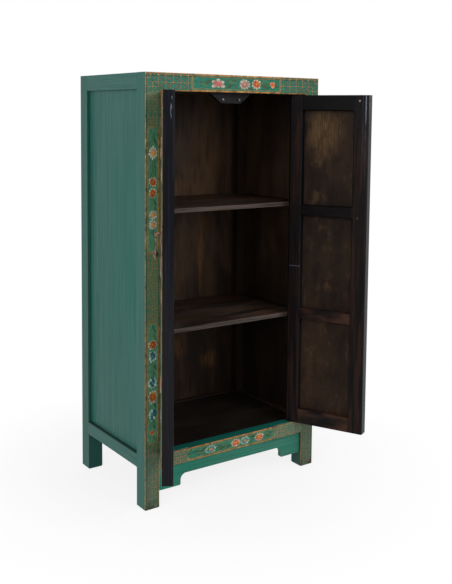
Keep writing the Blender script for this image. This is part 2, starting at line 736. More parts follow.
def inside_mask(sheet, x, y, z):
    """1 inside the body's box, behind the doors and above the floor board."""
    return sheet.times(between_walls(sheet, x, y),
                       sheet.within(z, FLOOR_TOP - 0.0005, BODY_TOP - 0.0115, MASK_EDGE))


def under_mask(sheet, x, y, z):
    """1 on the unseen faces under the floor board, behind the sill and the apron."""
    return sheet.times(between_walls(sheet, x, y), sheet.fall(z, FLOOR_TOP - 0.0009, FLOOR_TOP - 0.0005))


def inside_shade(sheet, x, y, z):
    """How dark the inside's stain has gone: more so low down, on the right and by the back right post."""
    low = sheet.ramp(z, 0.85, 0.25, 0.0, 0.5)
    right = sheet.ramp(x, SIDE_IN - 0.004, SIDE_IN, 0.0, 0.55)
    corner = sheet.times(sheet.ramp(x, POST_IN - 0.018, POST_IN - 0.002, 0.0, 0.72),
                         sheet.ramp(y, BACK_POST_Y - 0.02, BACK_POST_Y))
    top = sheet.ramp(z, 0.98, 1.12, 0.0, 0.4)
    return sheet.most(low, corner, sheet.plus(sheet.most(right, top), sheet.times(low, 0.5)))


def amber_glow(sheet, x, z):
    """Amber streaks and patches in the back panel's stain."""
    spots = sheet.most(*(sheet.times(sheet.spot(x, z, middle, reach), strength)
                         for middle, reach, strength in AMBER))
    broken = sheet.noise(sheet.join(sheet.times(x, 90.0), sheet.times(z, 14.0)), 1.0, 4.0, 0.65)
    return sheet.times(spots, sheet.ramp(broken, 0.34, 0.6))


def side_tone(sheet, grain, y, z, tone):
    """The side panels' lacquer, clearest half way up and towards the front, with hairs along the grain."""
    ahead = sheet.ramp(y, 0.17, -0.12, 0.15, 0.84)
    high = sheet.times(sheet.ramp(z, 0.24, 0.62, 0.3, 1.0), sheet.ramp(z, 1.12, 0.86))
    streaks = sheet.ramp(sheet.streaks(grain, (55, 55, 3), 3.0, 0.6), 0.3, 0.7, 0.8, 1.1)
    tone = sheet.blend(sheet.times(ahead, high, streaks), tone, settings("lacquer").body_clear)
    hairs = sheet.streaks(grain, (360, 360, 5), 1.0)
    tone = sheet.blend(sheet.ramp(hairs, 0.5, 0.66, 0.0, 0.36), tone, Tones.hair_dark)
    return sheet.blend(sheet.ramp(hairs, 0.46, 0.34, 0.0, 0.14), tone, Tones.hair_pale)


def frame_tone(sheet, x, y, z, tone):
    """Dirt along the frame's inner edges round a side panel, and fresher lacquer inside the recess."""
    beside = sheet.within(z, SIDE_LOW - 0.004, SIDE_HIGH + 0.003, 0.0006)
    outer = sheet.ramp(sheet.size(x), POST_OUT - 0.0011, POST_OUT - 0.0005)
    post = sheet.times(sheet.fall(y, BACK_POST_Y + 0.0016, BACK_POST_Y + 0.0034),
                       sheet.ramp(y, BACK_POST_Y - 0.0006, BACK_POST_Y - 0.0003))
    recess = sheet.times(sheet.fall(y, BACK_POST_Y + 0.0004, BACK_POST_Y + 0.0007), post, beside)
    tone = sheet.blend(sheet.times(recess, 0.6), tone, Tones.recess)
    rail = sheet.times(sheet.ramp(z, SIDE_LOW - 0.0036, SIDE_LOW - 0.002),
                       sheet.fall(z, SIDE_LOW + 0.0002, SIDE_LOW + 0.0004),
                       sheet.within(y, POST_BACK_Y + 0.004, BACK_POST_Y + 0.002, 0.002))
    tone = sheet.blend(sheet.times(rail, 0.85), tone, Tones.rail_dirt)
    aged = sheet.times(sheet.ramp(y, BACK_POST_Y, BACK_POST_Y + 0.003), outer)
    tone = sheet.blend(sheet.times(aged, 0.22), tone, Tones.aged_post)
    return sheet.blend(sheet.times(post, outer, beside, 0.85), tone, Tones.post_dirt)


def foot_shade(sheet, x, y, z):
    """1 on the feet's inner faces, which stand in the body's shade."""
    off = sheet.size(x)
    inner = sheet.times(sheet.fall(off, POST_IN + 0.0004, POST_IN + 0.0012),
                        sheet.ramp(off, POST_IN - 0.001, POST_IN - 0.0005))
    behind = sheet.times(sheet.within(y, BACK_POST_Y - 0.0005, BACK_POST_Y + 0.0007, MASK_EDGE),
                         sheet.ramp(off, POST_IN - 0.001, POST_IN))
    return sheet.times(sheet.most(inner, behind), sheet.ramp(z, SILL_Z[0] + 0.002, SILL_Z[0]))


def ledge_tone(sheet, x, y, z, tone):
    """The sill's upper face: shaded lacquer, a pale line behind the strips and a dark mark at their ends."""
    lac = settings("lacquer")
    off, strip_in, strip_back = sheet.size(x), KEEPER_X[0], KEEPER_Y[1]
    top = sheet.ramp(z, SILL_Z[1] - 0.0012, SILL_Z[1] - 0.0006)
    tone = sheet.blend(sheet.times(top, 0.85), tone, lac.ledge)
    beyond = sheet.ramp(off, strip_in, strip_in + 0.0005)
    bright = sheet.times(sheet.line(sheet.minus(y, strip_back), 0.0013), beyond, top, 0.9)
    tone = sheet.blend(bright, tone, lac.ledge_line)
    mark = sheet.times(sheet.line(sheet.minus(off, strip_in), 0.0022),
                       sheet.fall(y, strip_back + 0.001, strip_back + 0.004), top, 0.8)
    return sheet.blend(mark, tone, Tones.keeper_mark)


def lacquer_coat(sheet, grain, edges, ground, deep):
    """Worn lacquer of two greens along the grain."""
    lac = settings("lacquer")
    return sheet.group("lacquer", Vector=grain, Colour=ground, Deep=deep, Worn=lac.body_worn,
                       Undercoat=lac.undercoat, Edge=edges["Worn"])


def body_material(name, run, raw_under=True, painted=None, ledge=False, ground=None, amber=False,
                  faded=False):
    """Lacquered outside, stained inside, and bare wood under the floor board if raw_under.

    painted adds the front's painting, ledge the sill's upper face, amber the back panel's amber streaks and
    faded the side panels' clearer lacquer. ground holds the two greens of another ground.
    """
    lac = settings("lacquer")
    material, sheet, shader = start_material(name, BODY_SHEEN)
    place, x, y, z = object_place(sheet)
    grain = grain_place(sheet, (x, y, z), run)
    edges = sheet.group("worn edges", Vector=place, Radius=BODY_EDGE, Amount=lac.wear)
    coat = lacquer_coat(sheet, grain, edges, *(ground or (lac.body, lac.body_deep)))
    tone, rough, height = coat["Colour"], coat["Roughness"], coat["Height"]
    if faded:
        tone = side_tone(sheet, grain, y, z, tone)
    else:
        tone = frame_tone(sheet, x, y, z, tone)
    tone = sheet.blend(sheet.times(foot_shade(sheet, x, y, z), 0.62), tone, Tones.foot_shade)
    if ledge:
        tone = ledge_tone(sheet, x, y, z, tone)
    if painted:
        front = lacquer_coat(sheet, grain, edges, lac.front, lac.front_deep)
        drawn, lift = painted(sheet, place, x, z, front["Colour"])
        facing = sheet.fall(y, FRONT_Y + 0.0012, FRONT_Y + 0.0016)
        tone = sheet.blend(facing, tone, drawn)
        height = sheet.plus(height, sheet.times(facing, lift, LINE_LIFT))
    stain = sheet.group("stained wood", Vector=grain, Colour=lac.stain, Deep=lac.stain_deep,
                        Rubbed=lac.stain_rubbed)
    stained = sheet.blend(inside_shade(sheet, x, y, z), stain["Colour"], Tones.inside_shade)
    if amber:
        stained = sheet.blend(amber_glow(sheet, x, z), stained, lac.glow)
    inside = inside_mask(sheet, x, y, z)
    tone = sheet.blend(inside, tone, stained)
    rough = sheet.between(inside, rough, stain["Roughness"])
    height = sheet.between(inside, height, stain["Height"])
    if raw_under:
        wood = sheet.group("stained wood", Vector=grain, Colour=lac.bare_wood, Deep=Tones.bare_deep,
                           Rubbed=Tones.bare_rubbed)
        under = under_mask(sheet, x, y, z)
        tone = sheet.blend(under, tone, wood["Colour"])
        rough = sheet.between(under, rough, 0.7)
    finish_material(sheet, shader, tone, rough, height, LACQUER_DEPTH, edges["Normal"])
    return material


def shelf_tone(sheet, place, x, y, tone):
    """Brown and dark streaks along a shelf, its paler rubbed front edge, and its shaded right end."""
    streaks = sheet.streaks(place, (4, 44, 260), 4.0, 0.65)
    tone = sheet.blend(sheet.ramp(streaks, 0.5, 0.6, 0.0, 0.6), tone, Tones.shelf_brown)
    tone = sheet.blend(sheet.ramp(streaks, 0.48, 0.38, 0.0, 0.7), tone, Tones.shelf_dark)
    edge = sheet.fall(y, SHELF_FRONT + 0.0006, SHELF_FRONT + 0.0014)
    tone = sheet.blend(sheet.times(edge, sheet.ramp(streaks, 0.4, 0.6, 0.14, 0.42)), tone, Tones.shelf_front)
    return sheet.blend(sheet.ramp(x, SIDE_IN - 0.036, SIDE_IN - 0.014, 0.0, 0.8), tone, Tones.shelf_shade)


def wood_material(name, run, colours, gloss=0.0, shelf=False):
    """Stained boards: grain along the board, lighter where the edges are rubbed.

    colours holds the stain, its grain and its rubbed tone; gloss is taken off the roughness.
    """
    material, sheet, shader = start_material(name, SHELF_SHEEN if shelf else WOOD_SHEEN)
    place, x, y, z = object_place(sheet)
    ground, deep, rubbed = colours
    edges = sheet.group("worn edges", Vector=place, Radius=WOOD_EDGE, Amount=0.5)
    stain = sheet.group("stained wood", Vector=grain_place(sheet, (x, y, z), run), Colour=ground, Deep=deep,
                        Rubbed=rubbed)
    tone = sheet.blend(sheet.times(edges["Edge"], 0.3), stain["Colour"], rubbed)
    if shelf:
        tone = shelf_tone(sheet, place, x, y, tone)
    rough = sheet.minus(stain["Roughness"], gloss)
    finish_material(sheet, shader, tone, rough, stain["Height"], WOOD_DEPTH, edges["Normal"])
    return material


# Painting on the front

def painted_band(sheet, across, along, band, ground, pitch=None, line=None, under=None):
    """Gold, red, shade and border masks of a painted band, and its ground with brush strokes.

    across runs over the band's width from its middle and along down its length. pitch, line and under are
    another lattice's cell, line and ground.
    """
    paint = settings("painting")
    wide, long = pitch or band.pitch
    lattice = sheet.group("brocade lattice", Across=sheet.minus(across, band.shift), Along=along,
                          Pitch_Across=wide, Pitch_Along=long, Line=line or paint.line)
    side = sheet.size(across)
    border = sheet.line(sheet.minus(side, band.half - band.border / 2), band.border / 2)
    field = sheet.fall(side, band.inner - MASK_EDGE, band.inner + MASK_EDGE)
    free = outline = 0.0
    for middle, length_half in band.panels:
        reach = sheet.group("cartouche", Across=across, Along=along, Centre=middle, Half_Length=length_half,
                            Half_Width=band.inner - 0.0004, Corner=band.corner)["Distance"]
        free = sheet.most(free, sheet.fall(reach, -0.0003, 0.0003))
        inner_line = sheet.times(sheet.line(sheet.plus(reach, 0.0046), 0.0006), 0.75)
        outline = sheet.most(outline, sheet.line(reach, 0.0012), inner_line)
    kept = sheet.times(sheet.minus(1.0, free), field)
    gap = sheet.times(sheet.within(side, band.inner, band.half - band.border, 0.0003), 1.6)
    strokes = sheet.group("brush strokes", Across=across, Along=along, Ground=ground,
                          Amount=sheet.between(free, 0.5, band.brush),
                          Pale=paint.stroke_pale, Dark=paint.stroke_dark)["Colour"]
    if band.cool:
        spots = sheet.noise(sheet.join(sheet.times(across, 250.0), sheet.times(along, 220.0)), 1.0, 1.0)
        mosaic = sheet.blend(sheet.ramp(spots, 0.42, 0.58, 0.0, 0.5), under or paint.lattice_ground,
                             paint.lattice_blue)
        strokes = sheet.blend(sheet.times(kept, band.cool), strokes, mosaic)
    return (sheet.times(lattice["Gold"], kept), sheet.times(lattice["Red"], kept),
            sheet.most(sheet.times(lattice["Shade"], kept), gap), sheet.most(border, outline), strokes)


def gild(sheet, place, ground, gold, red, shade, border):
    """The painted lines over their ground."""
    return sheet.group("gilding", Vector=place, Ground=ground, Gold=gold, Red=red, Shade=shade, Border=border)


def mitre_tone(sheet, x, z, tone):
    """The joint between a front post and the lintel: a slanted dark line at each upper corner."""
    low, high = LINTEL_Z
    slope = (POST_OUT - POST_IN) / (high - low)
    off = sheet.minus(sheet.minus(sheet.size(x), POST_IN), sheet.times(sheet.minus(z, low), slope))
    line = sheet.times(sheet.line(off, 0.0008), sheet.ramp(z, low + 0.024, low + 0.034, 1.0, 0.25),
                       sheet.ramp(z, low - 0.0004, low), 0.8)
    return sheet.blend(line, tone, Tones.mitre)


def post_painting(sheet, place, x, z, ground):
    """Painting on a front post: two long panels between lattice, gold down both edges, and a worn foot.

    Above the lintel's lower edge, where the post meets the lintel, the lattice is as wide as the lintel's.
    """
    paint = settings("painting")
    across = sheet.minus(sheet.size(x), POST_MID)
    top = sheet.ramp(z, LINTEL_Z[0] - 0.004, LINTEL_Z[0] - 0.001, smooth=False)
    close = sheet.between(top, 0.66, 1.0)
    pitch = [sheet.times(close, cell) for cell in POST_PITCH]
    lit = sheet.times(sheet.ramp(z, 0.165, 0.2), sheet.ramp(z, 0.84, 0.96, 1.0, 0.5))
    ground = sheet.blend(sheet.times(lit, 0.9), ground, paint.field_lit)
    under = sheet.blend(lit, paint.lattice_ground, paint.lattice_lit)
    line = sheet.times(paint.line, sheet.between(top, 1.45, 1.0))
    gold, red, shade, border, tone = painted_band(sheet, across, z, POST_BAND, ground, pitch, line, under)
    tone = sheet.blend(sheet.times(top, 0.6), tone, Tones.lintel_green)
    scuffs = sheet.streaks(place, (60, 60, 26), 5.0, 0.72)
    worn = sheet.times(sheet.ramp(scuffs, 0.5, 0.62), sheet.ramp(z, 0.0, 0.19, 0.75, 0.0))
    tone = sheet.blend(worn, tone, Tones.foot_scuffed)
    fresh = sheet.ramp(sheet.streaks(place, (150, 150, 44), 3.0, 0.65), 0.5, 0.62)
    tone = sheet.blend(sheet.times(fresh, sheet.ramp(z, 0.1, 0.21, 0.8, 0.0)), tone, Tones.foot_green)
    gold = sheet.times(gold, sheet.between(top, 0.32, 1.0), sheet.ramp(z, 0.03, 0.2, 0.5, 1.0))
    red = sheet.times(red, sheet.ramp(z, 0.15, 0.3, 0.48, 0.82), sheet.ramp(z, 0.88, 0.98, 1.0, 0.76))
    shade = sheet.times(shade, sheet.between(top, 0.75, 1.2))
    border = sheet.times(border, sheet.ramp(z, 0.0, 0.1, 0.86, 1.0))
    drawn = gild(sheet, place, tone, gold, red, shade, border)
    tone = mitre_tone(sheet, x, z, drawn["Colour"])
    dirt = sheet.times(sheet.ramp(z, 0.002, 0.035, 0.9, 0.0), sheet.ramp(scuffs, 0.4, 0.56))
    return sheet.blend(dirt, tone, Tones.foot_dirt), drawn["Lift"]


def lintel_painting(sheet, place, x, z, ground):
    """Painting on the lintel: a long panel of flowers between lattice, and the dark line of each mitre."""
    up = sheet.minus(z, LINTEL_MID)
    gold, red, shade, border, tone = painted_band(sheet, up, x, LINTEL_BAND, ground)
    upper = sheet.line(sheet.minus(z, LINTEL_MID + 0.0165), 0.0015)
    shade = sheet.most(shade, sheet.times(upper, 1.5))
    tone = sheet.blend(0.5, tone, Tones.lintel_green)
    gold, red, shade = sheet.times(gold, 0.75), sheet.times(red, 0.8), sheet.times(shade, 1.3)
    drawn = gild(sheet, place, tone, gold, red, shade, border)
    return mitre_tone(sheet, x, z, drawn["Colour"]), drawn["Lift"]


def sill_painting(sheet, place, x, z, ground):
    """Painting on the sill: a long panel of flowers between lattice."""
    up = sheet.minus(z, SILL_MID)
    line = settings("painting").line * 1.2
    gold, red, shade, border, tone = painted_band(sheet, up, x, SILL_BAND, ground, line=line,
                                                  under=Tones.sill_green)
    gold, red, shade = sheet.times(gold, 0.4), sheet.times(red, 0.7), sheet.times(shade, 0.7)
    drawn = gild(sheet, place, tone, gold, red, shade, border)
    return drawn["Colour"], drawn["Lift"]


# Doors

def door_places(sheet, door, x, y, z):
    """Distance along the door from its pivot, and out towards its outer face."""
    place = sheet.join(sheet.minus(x, door.pivot.x), sheet.minus(y, door.pivot.y), z)
    return sheet.dot(place, door.along), sheet.dot(place, door.out)


def panel_tone(sheet, place, grain, u, z, wood):
    """A door panel's inner face: clouded stain, paler above, with a dark stain beside the stile."""
    lac = settings("lacquer")
    broad = sheet.ramp(sheet.streaks(place, (7, 7, 4.5), 2.0, 0.6), 0.4, 0.7)
    tone = sheet.blend(sheet.times(broad, 0.35), wood, lac.panel_rubbed)
    mottle = sheet.streaks(grain, (70, 70, 16), 4.0, 0.65)
    fibres = sheet.streaks(grain, (230, 230, 26), 3.0, 0.7)
    sunned = sheet.times(sheet.spot(u, z, (0.082, 1.04), (0.085, 0.11)),
                         sheet.ramp(fibres, 0.36, 0.6, 0.35, 1.0), 0.72)
    tone = sheet.blend(sunned, tone, Tones.panel_sunned)
    tone = sheet.blend(sheet.ramp(sheet.size(sheet.minus(z, 0.7)), 0.12, 0.2, 0.3, 0.0), tone, lac.panel_deep)
    tone = sheet.blend(sheet.ramp(z, 0.5, 0.4, 0.0, 0.22), tone, lac.panel_rubbed)
    clouds = sheet.streaks(grain, (24, 24, 15), 4.0, 0.7)
    tone = sheet.blend(sheet.ramp(clouds, 0.5, 0.36, 0.0, 0.5), tone, lac.panel_deep)
    pale = sheet.times(sheet.ramp(clouds, 0.52, 0.7), sheet.ramp(fibres, 0.4, 0.6, 0.2, 0.6))
    tone = sheet.blend(pale, tone, Tones.panel_cloud)
    stained = sheet.times(sheet.spot(u, z, (0.027, 1.05), (0.022, 0.085)),
                          sheet.ramp(mottle, 0.35, 0.55), 0.85)
    return sheet.blend(stained, tone, Tones.panel_stain)


def black_tone(sheet, place, z, edges):
    """The door frame's black edges: bluer above, greyed on the corners, with fine hairs up and down."""
    jet = sheet.blend(sheet.ramp(z, 0.5, 0.85), Tones.frame_low, Tones.frame_high)
    black = sheet.blend(sheet.times(edges["Edge"], 0.5), jet, Tones.frame_edge)
    hairs = sheet.ramp(sheet.streaks(place, (260, 260, 5), 2.0, 0.6), 0.52, 0.68)
    return sheet.blend(sheet.times(hairs, 0.45), black, Tones.frame_hair)


def ruddy_tone(sheet, grain, z, part, inner, tone):
    """Red-brown rubbed through the black: on the lower rails, and in runs along the stiles."""
    if part == "rail":
        rubbed = sheet.ramp(sheet.streaks(grain, (18, 18, 7), 3.0, 0.6), 0.36, 0.62)
        tone = sheet.blend(sheet.ramp(z, 0.7, 0.75, 0.0, 0.6), tone, Tones.rail_dark)
        return sheet.blend(sheet.times(sheet.ramp(z, 0.7, 0.5), rubbed, 0.7), tone, Tones.rail_ruddy)
    runs = sheet.ramp(sheet.streaks(grain, (90, 90, 5), 3.0, 0.6), 0.46, 0.62)
    below = sheet.ramp(z, 1.12, 1.04, 0.0, 0.65)
    return sheet.blend(sheet.times(runs, inner, below), tone, Tones.stile_ruddy)


def rim_tone(sheet, door, place, u, v, z, tone):
    """A pale worn line down the outer corner of the door's free edge, wider above."""
    corner = sheet.most(sheet.minus(door.width, u), sheet.minus(door.face, v))
    wide = sheet.ramp(z, 0.6, 1.05, 0.0005, 0.0009)
    rim = sheet.times(sheet.fall(sheet.minus(corner, wide), -0.0003, 0.0003),
                      sheet.ramp(u, door.meet_in, door.meet_in + 0.01))
    rubbed = sheet.ramp(sheet.streaks(place, (40, 40, 14), 4.0, 0.7), 0.35, 0.6)
    return sheet.blend(rim, tone, sheet.blend(rubbed, Tones.rim_dark, Tones.rim_pale))


def shine_tone(sheet, door, part, place, u, v, z, inner, tone):
    """Worn marks near the door's free edge: two streaks, a glint, a scuff, and on the right a scratch."""
    streak = sheet.most(sheet.line(sheet.minus(u, door.width - 0.0085), 0.0014, 0.0008),
                        sheet.times(sheet.line(sheet.minus(u, door.width - 0.0165), 0.0012, 0.0008), 0.6))
    broken = sheet.ramp(sheet.streaks(place, (50, 50, 14), 3.0, 0.6), 0.3, 0.6)
    streak = sheet.times(streak, inner, sheet.ramp(z, 0.86, 1.06), broken)
    tone = sheet.blend(streak, tone, Tones.frame_streak)
    if door.side == RIGHT and part == "stile":
        scratch = sheet.times(sheet.line(sheet.minus(z, 0.636), 0.0008, 0.0004), sheet.ramp(u, 0.06, 0.05))
        tone = sheet.blend(sheet.times(scratch, inner, 0.7), tone, Tones.frame_scratch)
    glint = sheet.times(sheet.line(sheet.minus(u, door.width - 0.0075), 0.0007, 0.0005), inner,
                        sheet.ramp(z, 1.05, 1.1, 0.0, 0.8))
    tone = sheet.blend(glint, tone, Tones.frame_glint)
    scuff = sheet.times(sheet.fall(sheet.size(sheet.minus(v, door.back + 0.009)), 0.0, 0.0035),
                        sheet.ramp(z, 1.06, 1.12),
                        sheet.ramp(sheet.streaks(place, (160, 160, 26), 4.0, 0.7), 0.5, 0.6),
                        sheet.ramp(u, door.width - 0.002, door.width - 0.0005))
    return sheet.blend(scuff, tone, Tones.frame_scuff)


def door_material(name, door, part):
    """One door's finish: painted outer face, black edges, and a stained inner face.

    part is "stile", "rail" or "panel"; a band's lattice runs along it, and a panel has a gold line.
    """
    lac = settings("lacquer")
    material, sheet, shader = start_material(name, DOOR_SHEEN)
    place, x, y, z = object_place(sheet)
    u, v = door_places(sheet, door, x, y, z)
    grain = sheet.join(v, z, u) if part == "rail" else sheet.join(u, v, z)
    edges = sheet.group("worn edges", Vector=place, Radius=DOOR_EDGE, Amount=lac.wear)
    front = lacquer_coat(sheet, grain, edges, lac.front, lac.front_deep)
    gold, red, shade, border, strokes = door_painting(sheet, door, part, u, z, front["Colour"])
    drawn = gild(sheet, place, strokes, gold, red, shade, border)
    if part == "panel":
        wood = sheet.group("stained wood", Vector=grain, Colour=lac.panel, Deep=lac.panel_deep,
                           Rubbed=lac.panel_rubbed)
        tone = panel_tone(sheet, place, grain, u, z, wood["Colour"])
        rough, height = wood["Roughness"], wood["Height"]
    else:
        wood = sheet.group("stained wood", Vector=grain, Colour=lac.frame_black, Deep=Tones.frame_deep,
                           Rubbed=lac.frame_rubbed)
        inner = sheet.fall(v, door.back + 0.0012, door.back + 0.002)
        tone = sheet.blend(inner, black_tone(sheet, place, z, edges), wood["Colour"])
        tone = ruddy_tone(sheet, grain, z, part, inner, tone)
        tone = rim_tone(sheet, door, place, u, v, z, tone)
        tone = shine_tone(sheet, door, part, place, u, v, z, inner, tone)
        rough = sheet.between(inner, 0.3, sheet.minus(wood["Roughness"], 0.1))
        height = sheet.times(wood["Height"], sheet.between(inner, 0.35, 1.0))
    facing = sheet.ramp(v, door.face - 0.0009, door.face - 0.0005)
    tone = sheet.blend(facing, tone, drawn["Colour"])
    rough = sheet.between(facing, rough, front["Roughness"])
    raised = sheet.plus(front["Height"], sheet.times(drawn["Lift"], LINE_LIFT))
    height = sheet.between(facing, height, raised)
    finish_material(sheet, shader, tone, rough, height, LACQUER_DEPTH, edges["Normal"])
    return material


def door_painting(sheet, door, part, u, z, ground):
    """Gold, red, shade and border masks on a door's outer face, and its ground."""
    if part == "stile":
        half = (door.width - door.meet_in) / 2
        far = sheet.calc("GREATER_THAN", u, 0.1)
        middle = sheet.between(far, door.stile_in - half, door.meet_in + half)
        band = Band(half, 0.0021, 0.0015, POST_PITCH, STILE_PANELS, 0.014)
        return painted_band(sheet, sheet.minus(u, middle), z, band, ground)
    if part == "rail":
        masks = [0.0] * 4
        for node in DOOR_RAILS:
            low, high = span(door.side + node, 2)
            band = Band((high - low) / 2, 0.0019, 0.0004, (0.0125, 0.0158))
            *parts, strokes = painted_band(sheet, sheet.minus(z, (low + high) / 2), u, band, ground)
            keep = sheet.within(z, low - 0.0005, high + 0.0005, MASK_EDGE)
            masks = [sheet.most(mask, sheet.times(one, keep)) for mask, one in zip(masks, parts)]
        return (*masks, strokes)
    outline = 0.0
    middle = sheet.minus(u, (door.stile_in + door.meet_in) / 2)
    half = (door.meet_in - door.stile_in) / 2
    for node in DOOR_PANELS:
        low, high = span(door.side + node, 2)
        reach = sheet.group("cartouche", Across=middle, Along=z, Centre=(low + high) / 2,
                            Half_Length=(high - low) / 2 - 0.014, Half_Width=half - 0.012,
                            Corner=0.016)["Distance"]
        outline = sheet.most(outline, sheet.line(reach, 0.0011), sheet.line(sheet.plus(reach, 0.004), 0.0005))
    paint = settings("painting")
    strokes = sheet.group("brush strokes", Across=u, Along=z, Amount=0.5, Ground=ground,
                          Pale=paint.stroke_pale, Dark=paint.stroke_dark)["Colour"]
    return outline, 0.0, 0.0, 0.0, strokes


# Metal

def brass_material(name, door=None, ringed=False):
    """Aged brass: dark in the hollows, bright where rubbed, with engraved rings round a plate's middle.

    On a door it is blackened where it comes out on the inner face.
    """
    brass = settings("brass")
    material, sheet, shader = start_material(name)
    place, x, y, z = object_place(sheet)
    edges = sheet.group("worn edges", Vector=place, Radius=BRASS_EDGE, Amount=0.9)
    cloud = sheet.ramp(sheet.noise(place, 90.0, 4.0, 0.6), 0.36, 0.66)
    tone = sheet.blend(cloud, brass.dull, brass.bright)
    tone = sheet.blend(sheet.times(edges["Edge"], 0.6), tone, brass.bright)
    spots = sheet.ramp(sheet.noise(place, 480.0, 3.0, 0.6), 0.6, 0.72)
    tone = sheet.blend(sheet.times(spots, 0.6), tone, Tones.brass_spot)
    height = sheet.times(sheet.streaks(place, (700, 700, 60), 2.0, 0.6), 0.25)
    if door:
        u, v = door_places(sheet, door, x, y, z)
        inside = sheet.ramp(v, door.back + 0.002, door.back + 0.004, 0.85, 0.0)
        tone = sheet.blend(inside, tone, Tones.brass_black)
    if ringed:
        reach = sheet.far(sheet.minus(u, door.width + 0.001), sheet.minus(z, PLATE_Z))
        rings = sheet.most(sheet.line(sheet.minus(reach, brass.groove), 0.0006),
                           sheet.line(sheet.minus(reach, brass.groove - 0.0145), 0.0005))
        tone = sheet.blend(sheet.times(rings, 0.65), tone, Tones.brass_ring)
        height = sheet.minus(height, rings)
    rough = sheet.plus(0.26, sheet.times(sheet.plus(cloud, spots), 0.14))
    shader.inputs["Metallic"].default_value = 1.0
    finish_material(sheet, shader, tone, rough, height, BRASS_DEPTH, edges["Normal"])
    return material


def steel_material(name, door=None):
    """Dull steel of the catches: fine scratches, and on a door's disc a dark rim round a rubbed middle."""
    material, sheet, shader = start_material(name)
    place, x, y, z = object_place(sheet)
    scratch = sheet.streaks(place, (900, 900, 120), 2.0, 0.6)
    cloud = sheet.noise(place, 260.0, 3.0, 0.6)
    tone = sheet.blend(sheet.ramp(cloud, 0.35, 0.7), *Tones.steel)
    if door:
        u, _ = door_places(sheet, door, x, y, z)
        middle_u = sum(door.reach("_catch_disc", door.along)) / 2
        middle_z = sum(span(door.side + "_catch_disc", 2)) / 2
        reach = sheet.far(sheet.minus(u, middle_u), sheet.minus(z, middle_z))
        tone = sheet.blend(sheet.ramp(reach, 0.002, 0.0032), *Tones.disc)
    rough = sheet.ramp(scratch, 0.3, 0.7, 0.25, 0.42)
    shader.inputs["Metallic"].default_value = 1.0
    finish_material(sheet, shader, tone, rough, scratch, STEEL_DEPTH)
    return material


# Painted flowers in low relief

def flower_paint():
    """Thick paint: colour from the mesh's own attribute, dusty and worn in spots, with brush ridges."""
    material, sheet, shader = start_material("flower paint", PAINT_SHEEN)
    place = sheet.node("TexCoord").outputs["Object"]
    given = sheet.node("Attribute")
    given.attribute_name = "Paint"
    mottle = sheet.noise(place, 900.0, 3.0, 0.65)
    wear = sheet.ramp(sheet.noise(place, 260.0, 4.0, 0.7), 0.3, 0.44)
    tone = sheet.blend(sheet.ramp(mottle, 0.3, 0.75, 0.0, 0.3), given.outputs["Color"], Tones.paint_dust)
    tone = sheet.blend(sheet.minus(1.0, wear), tone, settings("lacquer").front_deep)
    finish_material(sheet, shader, tone, sheet.ramp(mottle, 0.3, 0.7, 0.36, 0.52), mottle, PAINT_DEPTH)
    return material


class Board:
    """A flat face to paint on: its zero point, the way across, the way up and the way out."""

    def __init__(self, zero, across=(1, 0, 0), up=(0, 0, 1), out=(0, -1, 0)):
        self.zero = np.array(zero, float)
        self.across = np.array(across, float)
        self.up = np.array(up, float)
        self.out = np.array(out, float)
        self.turned = np.dot(np.cross(self.across, self.up), self.out) < 0

    def place(self, points):
        """Points given across, up and out, put on the face."""
        return self.zero + points @ np.stack([self.across, self.up, self.out])


def spread(low, high, by):
    """Colours between low and high by an array of shares."""
    return low + (np.array(high) - low) * by[..., None]


def ease(value, low, high):
    """0 below low, 1 above high, smooth between."""
    part = np.clip((value - low) / (high - low), 0.0, 1.0)
    return part * part * (3.0 - 2.0 * part)


def disc_faces(rings, steps):
    """Triangles and quads of a closed disc: a pole, rings of points and an under pole, in that order."""
    around = np.arange(steps)
    after = (around + 1) % steps
    last = 1 + (rings - 1) * steps
    pole, under = np.zeros(steps, int), np.full(steps, 1 + rings * steps)
    caps = np.concatenate([np.stack([pole, 1 + around, 1 + after], -1),
                           np.stack([under, last + after, last + around], -1)])
    ring = 1 + np.arange(rings - 1)[:, None] * steps
    quads = np.stack([ring + around, ring + steps + around, ring + steps + after, ring + after], -1)
    return [caps, quads.reshape(-1, 4)]


def disc_points(grid, top, under=SUNK):
    """The points of a closed disc: its pole at a height, its grid of rings and its under pole."""
    return np.concatenate([[[0, 0, top]], grid.reshape(-1, 3), [[0, 0, under]]])


